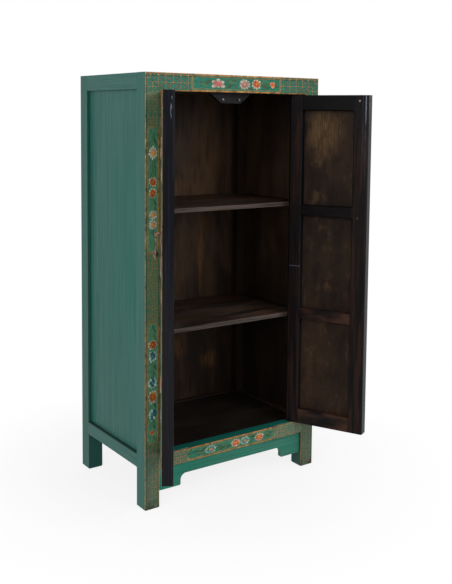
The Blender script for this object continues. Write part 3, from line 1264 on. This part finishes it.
def blossom(kind, radius, aspect, turn, lift):
    """Points, colours and faces of one layered flower.

    On a polar grid of share r and angle a the rim is L (1 - notch (1 - c)), where c is |cos(n a / 2)|^0.6 for
    round petals and (1 - |sin(n a / 2)|)^0.7 for pointed ones, and L is each petal's own length. The height
    is a dome lift (1 - 0.55 r^3) with a groove between petals and a raised heart. The last ring lies under
    the lacquer, so the flower is closed.
    """
    look = FLOWER_LOOKS[kind]
    petals, heart, dip = look["petals"], look["heart"], look.get("dip")
    flesh, coat, rim_coat, gap, heart_dark, heart_light = (np.array(tint(*tone)) for tone in look["paints"])
    steps = settings("painting").petal_steps
    angle = np.linspace(0.0, 2 * np.pi, steps, endpoint=False)
    grow = np.array([0.12, 0.22, 0.32, 0.42, 0.52, 0.62, 0.72, 0.82, 0.92, 1.0, 1.02])[:, None]
    chance = np.random.default_rng(int(turn * 1000) + petals)
    petal = np.round(petals * angle / (2 * np.pi)).astype(int) % petals
    lengths = chance.uniform(1 - look["uneven"], 1.0, petals)[petal]
    shades = chance.uniform(0.62, 1.06, petals)[petal]
    second = (chance.uniform(0.0, 1.0, petals) ** 1.4)[petal]
    rim_from = look["rim_from"] + look["spared"] * chance.uniform(-1.0, 0.7, petals)[petal]
    turned = petals * angle / 2
    crest = (1 - np.abs(np.sin(turned))) ** 0.7 if look.get("pointed") else np.abs(np.cos(turned)) ** 0.6
    foot = 1 - (dip or 0.0) * np.exp(-((angle - np.pi) / 0.5) ** 2)
    rim = (1 - look["notch"] * (1 - crest)) * lengths * foot
    outside = ease(grow, heart * 0.9, heart * 1.3)
    reach = radius * grow * (1 + (rim - 1) * outside)
    spun = angle if dip else angle + turn
    bulge = np.exp(-((grow / (heart * 0.9)) ** 4)) * 0.45
    height = lift * (1.0 - 0.55 * grow ** 3 - 0.45 * outside * (1 - crest) + bulge)
    height[-1] = SUNK
    grid = np.stack([aspect * reach * np.sin(spun), reach * np.cos(spun), height], -1)
    points = disc_points(grid, lift * 1.4)
    in_heart = 1 - ease(grow + 0.05 * np.sin(9 * angle), heart - 0.04, heart + 0.07)
    to_rim = ease(grow + 0 * rim_from, rim_from - 0.08, rim_from + 0.08)
    tone = spread(flesh, coat, second * ease(grow, 0.2, 0.5) + 0 * angle)
    tone = spread(spread(tone, rim_coat, to_rim), gap, look["gap_share"] * (1 - crest) * outside)
    tone = tone * shades[:, None]
    light = spread(heart_dark, heart_light, ease(np.cos(4 * angle + grow * 30), 0.2, 0.9))
    tone = tone + (light - tone) * in_heart[..., None]
    tones = np.concatenate([[heart_light], tone.reshape(-1, 3), [rim_coat]])
    return points, tones, disc_faces(len(grow), steps)


# Each kind of flower: how many petals, how deep the notches between them are, how uneven they are, how wide
# the heart is, where the pale rim begins and how far that varies, and how strong the gaps are. dip flattens
# its foot. Its paints are those of the petals, their second coat, the rim, the gaps, the heart and the
# heart's light, as 0 to 255 screen values.
FLOWER_LOOKS = {
    "daisy": dict(petals=10, notch=0.38, uneven=0.2, heart=0.36, rim_from=0.6, spared=0.16, gap_share=0.9,
                  paints=((168, 170, 150), (196, 118, 96), (204, 206, 192),
                          (48, 84, 62), (204, 100, 32), (240, 184, 66))),
    "orange": dict(petals=9, notch=0.32, uneven=0.2, heart=0.24, rim_from=0.82, spared=0.16, gap_share=0.85,
                   paints=((172, 52, 18), (216, 126, 44), (208, 200, 178),
                           (110, 44, 26), (134, 40, 18), (228, 150, 48))),
    "blue": dict(petals=9, notch=0.2, uneven=0.26, heart=0.1, rim_from=0.82, spared=0.44, gap_share=0.6,
                 paints=((10, 114, 134), (10, 84, 104), (186, 204, 194),
                         (14, 66, 78), (14, 96, 124), (150, 176, 160))),
    "aster": dict(petals=12, notch=0.32, uneven=0.12, heart=0.3, rim_from=0.8, spared=0.12, gap_share=0.4,
                  pointed=True, paints=((6, 128, 134), (6, 100, 106), (196, 208, 192),
                          (12, 78, 84), (150, 92, 28), (214, 158, 48))),
    "marigold": dict(petals=12, notch=0.3, uneven=0.14, heart=0.38, rim_from=0.8, spared=0.14, gap_share=0.5,
                     pointed=True, paints=((186, 58, 22), (212, 104, 46), (212, 206, 186),
                             (120, 52, 30), (176, 84, 22), (230, 150, 44))),
    "fan": dict(petals=6, notch=0.5, uneven=0.12, heart=0.3, rim_from=0.72, spared=0.14, gap_share=0.9,
                dip=0.4, paints=((178, 92, 92), (172, 150, 136), (180, 170, 150),
                        (122, 48, 58), (160, 52, 64), (192, 104, 104))),
    "peony": dict(petals=11, notch=0.28, uneven=0.14, heart=0.24, rim_from=0.66, spared=0.24, gap_share=0.95,
                  paints=((172, 98, 98), (158, 150, 134), (182, 174, 156),
                          (100, 84, 72), (166, 72, 80), (190, 158, 146))),
    "bud": dict(petals=3, notch=0.3, uneven=0.24, heart=0.3, rim_from=0.86, spared=0.2, gap_share=0.5,
                paints=((196, 66, 24), (206, 112, 50), (204, 150, 112),
                        (150, 60, 34), (176, 62, 28), (214, 104, 50))),
}

# Dark and light green of the leaves
LEAF_PAINTS = (
    (tint(20, 46, 30), tint(52, 78, 36)), (tint(40, 84, 54), tint(92, 122, 76)),
    (tint(32, 52, 26), tint(84, 76, 32)), (tint(24, 68, 48), tint(66, 108, 78)),
    (tint(40, 92, 60), tint(104, 140, 92)), (tint(52, 110, 84), tint(120, 158, 124)),
)


def leaf(size, slim, turn, lift, paint):
    """Points, colours and faces of one leaf, half as long as its size says and slim times that wide.

    On the same polar grid, the point along is L r cos a and the point across is W r sin a
    (1 - 0.75 |r cos a|^1.5), which draws both ends to a tip, bent to one side; the height falls from a raised
    midrib to the edge.
    """
    steps = 20
    angle = np.linspace(0.0, 2 * np.pi, steps, endpoint=False)
    grow = np.array([0.3, 0.6, 0.85, 1.0, 1.01])[:, None]
    along = grow * np.cos(angle)
    side = grow * np.sin(angle) * (1 - 0.75 * np.abs(along) ** 1.5)
    height = lift * (0.75 - 0.3 * grow ** 2 + 0.35 * np.exp(-(side * 6) ** 2))
    height[-1] = SUNK
    far = size * along
    wide = size * slim * side + size * 0.16 * along ** 2
    across = far * math.sin(turn) + wide * math.cos(turn)
    up = far * math.cos(turn) - wide * math.sin(turn)
    dark, light = (np.array(tone) for tone in LEAF_PAINTS[paint])
    rib = np.exp(-(side * 7) ** 2)
    tone = spread(dark, light, np.clip(rib * 0.8 + 0.25 * (grow - 0.3), 0, 1))
    tones = np.concatenate([[light], tone.reshape(-1, 3), [dark]])
    return disc_points(np.stack([across, up, height], -1), lift), tones, disc_faces(len(grow), steps)


def stem(knots, half, lift):
    """Points, colours and faces of a stem: a low ridge along a smooth curve through four knots.

    The curve is a cubic Bezier of the knots; at share t the ridge is narrowed by 1 - 0.5 t. Its section has
    five points, the two outer ones under the lacquer, and both ends close on themselves.
    """
    share = np.linspace(0.0, 1.0, 26)[:, None]
    weights = ((1 - share) ** 3, 3 * share * (1 - share) ** 2, 3 * share ** 2 * (1 - share), share ** 3)
    path = sum(weight * knot for weight, knot in zip(weights, np.array(knots, float)))
    way = np.gradient(path, axis=0)
    way /= np.linalg.norm(way, axis=1, keepdims=True)
    side = np.stack([way[:, 1], -way[:, 0]], -1)
    offsets = np.array([-1.0, -0.7, 0.0, 0.7, 1.0])
    heights = np.array([SUNK, lift * 0.6, lift, lift * 0.6, SUNK])
    wide = half * (1 - 0.5 * share) * offsets
    flat = path[:, None, :] + side[:, None, :] * wide[..., None]
    points = np.concatenate([flat, np.broadcast_to(heights, flat.shape[:2])[..., None]], -1).reshape(-1, 3)
    count = len(offsets)
    row = np.arange(len(path) - 1)[:, None] * count
    col = np.arange(count)
    after = (col + 1) % count
    quads = np.stack([row + count + col, row + count + after, row + after, row + col], -1).reshape(-1, 4)
    ends = np.stack([col, len(points) - 1 - col])
    return points, np.broadcast_to(Tones.stem, (len(points), 3)), [quads, ends]


def nail(radius, lift):
    """Points and faces of a nail head: radius R cos(q) and height h sin(q), turned about its own axis."""
    steps = 24
    angle = np.linspace(0.0, 2 * np.pi, steps, endpoint=False)
    rise = np.radians([68, 45, 22, 0, 0])[:, None]
    reach = radius * np.cos(rise)
    height = np.broadcast_to(lift * np.sin(rise), (len(rise), steps)).copy()
    height[-1] = NAIL_SUNK
    grid = np.stack([reach * np.sin(angle), reach * np.cos(angle), height], -1)
    return disc_points(grid, lift, NAIL_SUNK), None, disc_faces(len(rise), steps)


def sprays(flowers, leaves, stems, middle=0.0, slim=0.3, paints=(0, 1, 2, 3), half=0.0006,
           rise=(1.0, 0.5, 0.45)):
    """Flowers, leaves and stems round a middle height, each as its shape and its place.

    slim is a leaf's width over its length and half a stem's half width. rise is how high flowers, leaves and
    stems stand, as shares of the relief. The leaves take the paints by turns.
    """
    flower_lift, leaf_lift, stem_lift = (settings("painting").relief * part for part in rise)
    shapes = [(blossom(kind, radius, aspect, turn, flower_lift), (across, middle + up))
              for kind, across, up, radius, aspect, turn in flowers]
    shapes += [(leaf(size, slim, turn, leaf_lift, paints[step % len(paints)]), (across, middle + up))
               for step, (across, up, size, turn) in enumerate(leaves)]
    for knots in stems:
        shapes.append((stem([(across, middle + up) for across, up in knots], half, stem_lift), (0.0, 0.0)))
    return shapes


def relief_piece(name, body, board, shapes, material=None):
    """One mesh of several shapes, each with its place on the board, that rides on a body.

    Without a material it is flower paint.
    """
    points, tones, faces, count = [], [], [], 0
    for (shape_points, shape_tones, shape_faces), (across, up) in shapes:
        points.append(shape_points + np.array([across, up, 0.0]))
        tones.append(shape_tones)
        faces += [(part + count)[:, ::-1 if board.turned else 1] for part in shape_faces]
        count += len(shape_points)
    mesh = bpy.data.meshes.new(name)
    faces = [face for part in faces for face in part.tolist()]
    mesh.from_pydata(board.place(np.concatenate(points)), [], faces)
    if tones[0] is not None:
        tones = np.column_stack([np.concatenate(tones), np.ones(count)])
        paint = mesh.color_attributes.new("Paint", "FLOAT_COLOR", "POINT")
        paint.data.foreach_set("color", tones.astype(np.float32).ravel())
    mesh.shade_smooth()
    mesh.materials.append(material or bpy.data.materials.get("flower paint") or flower_paint())
    piece = bpy.data.objects.new(name, mesh)
    bpy.context.scene.collection.objects.link(piece)
    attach(piece, body)


# Flowers: kind, across, up, radius, width over height, and turn. Leaves: across, up, half length and turn.
# Stems: four knots, each across and up.
POST_FLOWERS = tuple((kind, 0.0005, *rest) for kind, *rest in (
    ("daisy", 0.9855, 0.0196, 0.76, 0.1), ("orange", 0.9075, 0.0152, 0.94, 0.4),
    ("orange", 0.8775, 0.0152, 0.94, 1.1), ("daisy", 0.8190, 0.0152, 0.94, 0.8),
    ("daisy", 0.7925, 0.0152, 0.94, 1.9), ("orange", 0.4640, 0.0160, 0.92, 0.2),
    ("blue", 0.4315, 0.0186, 0.82, 0.7), ("blue", 0.3580, 0.0190, 0.80, 1.4),
    ("orange", 0.3185, 0.0220, 0.70, 2.1), ("blue", 0.2700, 0.0184, 0.82, 0.5),
    ("bud", 0.2190, 0.0092, 0.90, 0.3),
))
POST_LEAVES = tuple(
    (0.0068 * (-1) ** step, up, 0.0095 + 0.002 * (step % 3), -0.42 * (-1) ** step) for step, up in enumerate((
        1.036, 1.027, 1.016, 1.008, 0.963, 0.955, 0.947, 0.938, 0.929, 0.859, 0.852, 0.845, 0.838, 0.772,
        0.764, 0.755, 0.746, 0.737, 0.502, 0.494, 0.485, 0.410, 0.401, 0.392, 0.384, 0.376, 0.296, 0.290,
        0.247, 0.241, 0.234, 0.206, 0.200,
    ))
)
POST_STEMS = (
    ((0.0, 0.735), (0.006, 0.77), (-0.007, 0.80), (0.0, 0.85)),
    ((0.0, 0.85), (0.006, 0.88), (-0.006, 0.93), (0.002, 1.04)),
    ((0.0, 0.20), (0.007, 0.24), (-0.007, 0.28), (0.0, 0.33)),
    ((0.0, 0.33), (0.007, 0.38), (-0.007, 0.43), (0.001, 0.505)),
)
LINTEL_FLOWERS = (
    ("fan", -0.067, -0.002, 0.0168, 1.5, 0.4), ("peony", 0.024, -0.0005, 0.0156, 1.40, 0.9),
    ("orange", 0.0655, 0.0, 0.0160, 1.14, 1.6), ("bud", 0.1245, 0.001, 0.0110, 1.0, 0.9),
)
LINTEL_LEAVES = (
    (-0.101, 0.004, 0.013, 1.15), (-0.112, -0.005, 0.011, 1.8), (-0.122, 0.003, 0.009, 1.4),
    (-0.036, 0.008, 0.012, 2.1), (-0.029, -0.007, 0.013, 1.1), (-0.022, 0.004, 0.012, 1.4),
    (-0.012, 0.009, 0.011, 1.9), (-0.008, -0.008, 0.010, 1.2), (0.044, -0.012, 0.010, 1.8),
    (0.090, 0.008, 0.011, 1.1), (0.094, -0.004, 0.012, 1.9), (0.101, 0.003, 0.011, 1.3),
    (0.107, -0.009, 0.009, 1.0), (0.113, 0.007, 0.009, 1.8), (0.138, -0.004, 0.009, 1.8),
    (0.142, 0.005, 0.008, 1.2),
)
LINTEL_STEMS = (
    ((-0.125, 0.0), (-0.09, 0.008), (-0.05, -0.008), (0.0, 0.0)),
    ((0.0, 0.0), (0.04, 0.008), (0.09, -0.008), (0.135, 0.0)),
)
SILL_FLOWERS = (
    ("aster", -0.083, 0.0, 0.0130, 1.75, 0.3), ("marigold", 0.0048, 0.0, 0.0132, 1.5, 0.8),
    ("aster", 0.0385, 0.0, 0.0132, 1.42, 1.5), ("marigold", 0.0915, 0.0, 0.0130, 1.55, 0.1),
)
SILL_LEAVES = (
    (-0.110, 0.004, 0.011, 1.3), (-0.118, -0.004, 0.010, 1.8), (-0.128, 0.003, 0.009, 1.4),
    (-0.052, 0.005, 0.011, 1.8), (-0.043, -0.004, 0.012, 1.3), (-0.032, 0.003, 0.011, 1.7),
    (-0.021, -0.005, 0.009, 1.3), (0.062, -0.005, 0.009, 1.2), (0.066, 0.006, 0.009, 1.8),
    (0.117, 0.004, 0.010, 1.3), (0.125, -0.004, 0.010, 1.8), (0.133, 0.003, 0.008, 1.4),
)
SILL_STEMS = (
    ((-0.132, 0.0), (-0.09, 0.007), (-0.05, -0.007), (0.0, 0.0)),
    ((0.0, 0.0), (0.04, 0.006), (0.09, -0.006), (0.134, 0.0)),
)
SPRAY_FLOWERS = tuple([(*rest, 1.0, turn) for *rest, turn in flowers] for flowers in (
    (("orange", 0.004, 0.044, 0.027, 0.3), ("blue", 0.046, -0.028, 0.020, 0.9),
     ("daisy", -0.046, 0.022, 0.019, 1.4), ("blue", -0.014, 0.106, 0.013, 0.2),
     ("bud", 0.044, 0.060, 0.010, 0.0)),
    (("peony", 0.004, 0.044, 0.028, 0.3), ("orange", 0.046, -0.028, 0.020, 0.9),
     ("blue", -0.046, 0.022, 0.020, 1.4), ("daisy", -0.014, 0.106, 0.013, 0.2),
     ("bud", 0.044, 0.060, 0.010, 0.0)),
    (("orange", 0.004, 0.044, 0.028, 0.5), ("daisy", 0.046, -0.028, 0.021, 0.9),
     ("orange", -0.046, 0.022, 0.018, 1.4), ("peony", -0.014, 0.106, 0.015, 0.2),
     ("bud", 0.044, 0.060, 0.010, 0.0)),
))
SPRAY_LEAVES = (
    (0.010, -0.098, 0.015, 0.9), (-0.020, -0.088, 0.014, -0.7), (0.018, -0.060, 0.013, 0.3),
    (-0.014, -0.056, 0.016, -1.1), (0.006, -0.028, 0.014, 1.2), (-0.030, -0.026, 0.013, -0.4),
    (0.052, -0.062, 0.013, 0.5), (0.026, -0.010, 0.013, 0.9), (-0.058, -0.006, 0.012, -0.8),
    (-0.034, 0.050, 0.013, -0.5), (-0.022, 0.074, 0.014, -0.9), (0.014, 0.084, 0.013, 0.8),
    (0.030, 0.086, 0.011, 0.5), (-0.036, 0.100, 0.012, -1.2), (0.006, 0.112, 0.012, 0.5),
    (0.056, 0.030, 0.012, 0.9), (0.034, 0.018, 0.012, 1.5), (-0.048, 0.062, 0.011, -0.3),
)
SPRAY_STEMS = (
    ((-0.012, -0.112), (0.03, -0.06), (-0.045, -0.01), (0.004, 0.05)),
    ((0.004, 0.05), (0.018, 0.07), (-0.004, 0.09), (-0.014, 0.108)),
    ((0.002, -0.07), (0.022, -0.05), (0.04, -0.048), (0.046, -0.03)),
    ((-0.012, -0.02), (-0.03, -0.01), (-0.046, 0.004), (-0.046, 0.03)),
    ((-0.006, 0.02), (0.016, 0.03), (0.034, 0.036), (0.044, 0.056)),
)


# Operators

class CABINET_OT_dress_body(bpy.types.Operator):
    """Lacquer the body's outside and stain its inside"""
    bl_idname = "cabinet.dress_body"
    bl_label = "Dress the body"

    def execute(self, context):
        lac = settings("lacquer")
        build_groups()
        dress(body_material("body lacquer, posts", "upright", raw_under=False),
              "back_left_post", "back_right_post")
        dress(body_material("body lacquer, across", "across"),
              "back_top_rail", "back_bottom_rail", "top_board")
        dress(body_material("body lacquer, front to back", "deep"),
              "left_top_rail", "right_top_rail", "left_bottom_rail", "right_bottom_rail")
        dress(body_material("apron lacquer", "across", ground=(lac.apron, lac.apron_deep)), "apron")
        dress(body_material("body lacquer, sides", "upright", faded=True),
              "left_side_panel", "right_side_panel")
        dress(body_material("body lacquer, back", "upright", amber=True), "back_panel")
        return {"FINISHED"}


class CABINET_OT_dress_front(bpy.types.Operator):
    """Lacquer the front frame and paint its borders and lattice"""
    bl_idname = "cabinet.dress_front"
    bl_label = "Dress the front frame"

    def execute(self, context):
        dress(body_material("painted posts", "upright", raw_under=False, painted=post_painting),
              "front_left_post", "front_right_post")
        dress(body_material("painted lintel", "across", raw_under=False, painted=lintel_painting), "lintel")
        dress(body_material("painted sill", "across", painted=sill_painting, ledge=True),
              "sill", "left_pivot_keeper", "right_pivot_keeper")
        return {"FINISHED"}


class CABINET_OT_dress_inside(bpy.types.Operator):
    """Stain the shelves, the floor board and the block behind the lintel"""
    bl_idname = "cabinet.dress_inside"
    bl_label = "Dress the inside"

    def execute(self, context):
        lac = settings("lacquer")
        shelf_stain = (lac.shelf, lac.stain_deep, lac.shelf_rubbed)
        inside_stain = (lac.stain, lac.stain_deep, lac.stain_rubbed)
        dress(wood_material("shelf wood", "across", shelf_stain, 0.06, shelf=True),
              "upper_shelf", "lower_shelf")
        dress(wood_material("bearer wood", "deep", inside_stain),
              "upper_left_bearer", "upper_right_bearer", "lower_left_bearer", "lower_right_bearer")
        dress(wood_material("floor board wood", "across", Tones.floor, 0.1), "floor_board")
        dress(wood_material("stop block wood", "across", Tones.stop_block, 0.05), "stop_block")
        return {"FINISHED"}


class CABINET_OT_dress_doors(bpy.types.Operator):
    """Paint the doors' outer faces, and stain their inner faces and edges"""
    bl_idname = "cabinet.dress_doors"
    bl_label = "Dress the doors"

    def execute(self, context):
        for side, door in DOORS.items():
            for part, nodes in (("stile", DOOR_STILES), ("rail", DOOR_RAILS), ("panel", DOOR_PANELS)):
                material = door_material(f"{side} door {part}s", door, part)
                dress(material, *(side + node for node in nodes))
        return {"FINISHED"}


class CABINET_OT_dress_metal(bpy.types.Operator):
    """Age the brass and dull the steel of the catches"""
    bl_idname = "cabinet.dress_metal"
    bl_label = "Dress the metal"

    def execute(self, context):
        brass = brass_material("aged brass")
        for side, door in DOORS.items():
            dress(brass_material(side + " plate brass", door, ringed=True), side + "_brass_plate")
            dress(brass_material(side + " post brass", door), side + "_pull_post")
            dress(brass, side + "_plate_nails", side + "_pull")
            dress(steel_material(side + " catch steel", door), side + "_catch_disc")
        dress(steel_material("catch steel"), "catch_magnets")
        return {"FINISHED"}


class CABINET_OT_paint_posts(bpy.types.Operator):
    """Paint the flowers on the two front posts"""
    bl_idname = "cabinet.paint_posts"
    bl_label = "Paint the posts' flowers"

    def execute(self, context):
        for side, way in WAYS.items():
            board = Board((POST_MID * way, FRONT_Y, 0), (-way, 0, 0))
            shapes = sprays(POST_FLOWERS, POST_LEAVES, POST_STEMS, slim=0.26, paints=(4, 5, 3, 5))
            relief_piece(side + "_post_flowers", "carcass", board, shapes)
        return {"FINISHED"}


class CABINET_OT_paint_lintel(bpy.types.Operator):
    """Paint the flowers on the lintel"""
    bl_idname = "cabinet.paint_lintel"
    bl_label = "Paint the lintel's flowers"

    def execute(self, context):
        shapes = sprays(LINTEL_FLOWERS, LINTEL_LEAVES, LINTEL_STEMS)
        relief_piece("lintel_flowers", "carcass", Board((0, FRONT_Y, LINTEL_MID)), shapes)
        return {"FINISHED"}


class CABINET_OT_paint_sill(bpy.types.Operator):
    """Paint the flowers on the sill"""
    bl_idname = "cabinet.paint_sill"
    bl_label = "Paint the sill's flowers"

    def execute(self, context):
        shapes = sprays(SILL_FLOWERS, SILL_LEAVES, SILL_STEMS)
        relief_piece("sill_flowers", "carcass", Board((0, FRONT_Y, SILL_MID)), shapes)
        return {"FINISHED"}


class CABINET_OT_paint_doors(bpy.types.Operator):
    """Paint the flower sprays on the doors' outer panels"""
    bl_idname = "cabinet.paint_doors"
    bl_label = "Paint the doors' flowers"

    def execute(self, context):
        for side, door in DOORS.items():
            middle = (door.stile_in + door.meet_in) / 2
            zero = door.pivot + door.along * middle + door.out * door.face
            shapes = []
            for node, flowers in zip(DOOR_PANELS, SPRAY_FLOWERS):
                height = sum(span(side + node, 2)) / 2
                shapes += sprays(flowers, SPRAY_LEAVES, SPRAY_STEMS, height, 0.36, half=0.0010,
                                 rise=(1.15, 0.7, 0.6))
            board = Board(zero, door.along, out=door.out)
            relief_piece(side + "_door_flowers", side + "_door", board, shapes)
        return {"FINISHED"}


class CABINET_OT_drive_nails(bpy.types.Operator):
    """Drive the small nails that hold the strips over the lower pivots"""
    bl_idname = "cabinet.drive_nails"
    bl_label = "Drive the keeper nails"

    def execute(self, context):
        low, high = KEEPER_X
        board = Board((0, KEEPER_Y[0], sum(KEEPER_Z) / 2))
        head = nail(NAIL_RADIUS, NAIL_LIFT)
        for side, way in WAYS.items():
            nails = [(head, (way * (low + (high - low) * share), 0.0)) for share in NAIL_SHARES]
            relief_piece(side + "_keeper_nails", "carcass", board, nails,
                         bpy.data.materials["aged brass"])
        return {"FINISHED"}


class CABINET_OT_set_stage(bpy.types.Operator):
    """Set the floor, the lamps, the sky and the camera"""
    bl_idname = "cabinet.set_stage"
    bl_label = "Set the stage"

    def execute(self, context):
        stage = settings("stage")
        lay_floor(stage)
        hang_lamps(stage)
        light_sky(stage)
        place_camera(stage)
        return {"FINISHED"}


# Stage

def seen_straight(sheet, path):
    """1 for what the camera sees straight, in a mirror or through glass, 0 for the light on other things."""
    return sheet.most(path.outputs["Is Camera Ray"], path.outputs["Is Glossy Ray"],
                      path.outputs["Is Transmission Ray"])


def lay_floor(stage):
    """A pale floor. To the camera it fades to white away from the cabinet, so only the soft shadow shows."""
    half = 6.0
    corners = [(-half, -half, 0), (half, -half, 0), (half, half, 0), (-half, half, 0)]
    mesh = bpy.data.meshes.new("floor")
    mesh.from_pydata(corners, [], [(0, 1, 2, 3)])
    floor = bpy.data.objects.new("floor", mesh)
    bpy.context.scene.collection.objects.link(floor)
    material = bpy.data.materials.new("pale floor")
    material.use_nodes = True
    tree = material.node_tree
    tree.nodes.clear()
    sheet = Sheet(tree)
    shade = tree.nodes.new("ShaderNodeBsdfPrincipled")
    glow = tree.nodes.new("ShaderNodeEmission")
    place, x, y, _ = object_place(sheet)
    grain = sheet.noise(place, 60.0, 3.0, 0.5)
    pale = tuple(stage.floor)
    tone = sheet.blend(sheet.ramp(grain, 0.3, 0.7), pale, tuple(part * 0.97 for part in pale))
    sheet.put(shade.inputs["Base Color"], tone)
    shade.inputs["Roughness"].default_value = 0.9
    shade.inputs["Specular IOR Level"].default_value = 0.1
    faded = sheet.ramp(sheet.far(x, y), 0.3, 0.9, 0.84, 1.0)
    path = tree.nodes.new("ShaderNodeLightPath")
    mix_shaders(tree, sheet.times(faded, seen_straight(sheet, path)), shade, glow, "ShaderNodeOutputMaterial")
    mesh.materials.append(material)


def mix_shaders(tree, share, first, second, output):
    """Mixes two shaders by a share and leads them to the output."""
    mix = tree.nodes.new("ShaderNodeMixShader")
    leave = tree.nodes.new(output)
    for given, socket in zip((share, first.outputs[0], second.outputs[0]), mix.inputs):
        tree.links.new(given, socket)
    tree.links.new(mix.outputs[0], leave.inputs[0])


def hang_lamps(stage):
    """Soft square lamps before and to the left of the cabinet, both aimed at its middle."""
    aim = Vector((0.0, 0.0, 0.65))
    lamps = (("front_lamp", stage.key, (0.9, -3.3, 2.3), 2.2),
             ("side_lamp", stage.side, (-3.2, -2.2, 1.9), 2.4))
    for name, power, place, size in lamps:
        lamp = bpy.data.lights.new(name, "AREA")
        lamp.energy = power
        lamp.shape = "SQUARE"
        lamp.size = size
        item = bpy.data.objects.new(name, lamp)
        way = aim - Vector(place)
        item.matrix_world = Matrix.Translation(place) @ way.to_track_quat("-Z", "Y").to_matrix().to_4x4()
        bpy.context.scene.collection.objects.link(item)


def light_sky(stage):
    """An even sky that shows white and lights at the strength set."""
    world = bpy.data.worlds.new("even sky")
    bpy.context.scene.world = world
    world.use_nodes = True
    tree = world.node_tree
    tree.nodes.clear()
    light, white = (tree.nodes.new("ShaderNodeBackground") for _ in range(2))
    for node, strength in ((light, stage.sky), (white, 1.0)):
        node.inputs["Color"].default_value = (1.0, 1.0, 1.0, 1.0)
        node.inputs["Strength"].default_value = strength
    path = tree.nodes.new("ShaderNodeLightPath")
    mix_shaders(tree, seen_straight(Sheet(tree), path), light, white, "ShaderNodeOutputWorld")


def place_camera(stage):
    """The camera that took the photograph: turned, tilted and rolled, with a shifted lens."""
    yaw, tilt, roll = stage.yaw, stage.pitch, stage.roll
    ahead = Vector((math.sin(yaw) * math.cos(tilt), math.cos(yaw) * math.cos(tilt), math.sin(tilt)))
    level = Vector((math.cos(yaw), -math.sin(yaw), 0.0))
    upward = level.cross(ahead)
    right = level * math.cos(roll) + upward * math.sin(roll)
    up = upward * math.cos(roll) - level * math.sin(roll)
    camera = bpy.data.cameras.new("camera")
    camera.sensor_width = FILM
    camera.lens = stage.focal_px / PICTURE_HEIGHT * FILM
    camera.shift_x = (PICTURE_WIDTH / 2 - stage.centre_x) / PICTURE_HEIGHT
    camera.shift_y = (stage.centre_y - PICTURE_HEIGHT / 2) / PICTURE_HEIGHT
    item = bpy.data.objects.new("camera", camera)
    turn = Matrix((right, up, -ahead)).transposed().to_4x4()
    item.matrix_world = Matrix.Translation((stage.camera_x, stage.camera_y, stage.camera_z)) @ turn
    bpy.context.scene.collection.objects.link(item)
    bpy.context.scene.camera = item


OPERATORS = (
    CABINET_OT_set_stage, CABINET_OT_dress_body, CABINET_OT_dress_front, CABINET_OT_dress_inside,
    CABINET_OT_dress_doors, CABINET_OT_dress_metal, CABINET_OT_paint_posts, CABINET_OT_paint_lintel,
    CABINET_OT_paint_sill, CABINET_OT_paint_doors, CABINET_OT_drive_nails,
)


class CABINET_PT_panel(bpy.types.Panel):
    """Lists the cabinet's settings and steps"""
    bl_idname = "CABINET_PT_panel"
    bl_label = "Painted cabinet"
    bl_space_type = "VIEW_3D"
    bl_region_type = "UI"
    bl_category = "Cabinet"

    def draw(self, context):
        for operator in OPERATORS:
            self.layout.operator(operator.bl_idname)
        for name in SETTINGS:
            box = self.layout.box()
            group = getattr(context.scene, name)
            for key in group.__annotations__:
                box.prop(group, key)


def register():
    for item in (*SETTINGS.values(), *OPERATORS, CABINET_PT_panel):
        bpy.utils.register_class(item)
    for name, group in SETTINGS.items():
        setattr(bpy.types.Scene, name, PointerProperty(type=group))


def unregister():
    for name in SETTINGS:
        delattr(bpy.types.Scene, name)
    for item in reversed((*SETTINGS.values(), *OPERATORS, CABINET_PT_panel)):
        bpy.utils.unregister_class(item)


def main():
    """Registers the add-on, runs its steps in order and notes the two sizes."""
    register()
    bpy.context.scene.view_settings.view_transform = "Standard"
    for operator in OPERATORS:
        family, step = operator.bl_idname.split(".")
        getattr(getattr(bpy.ops, family), step)()


if __name__ == "__main__":
    main()
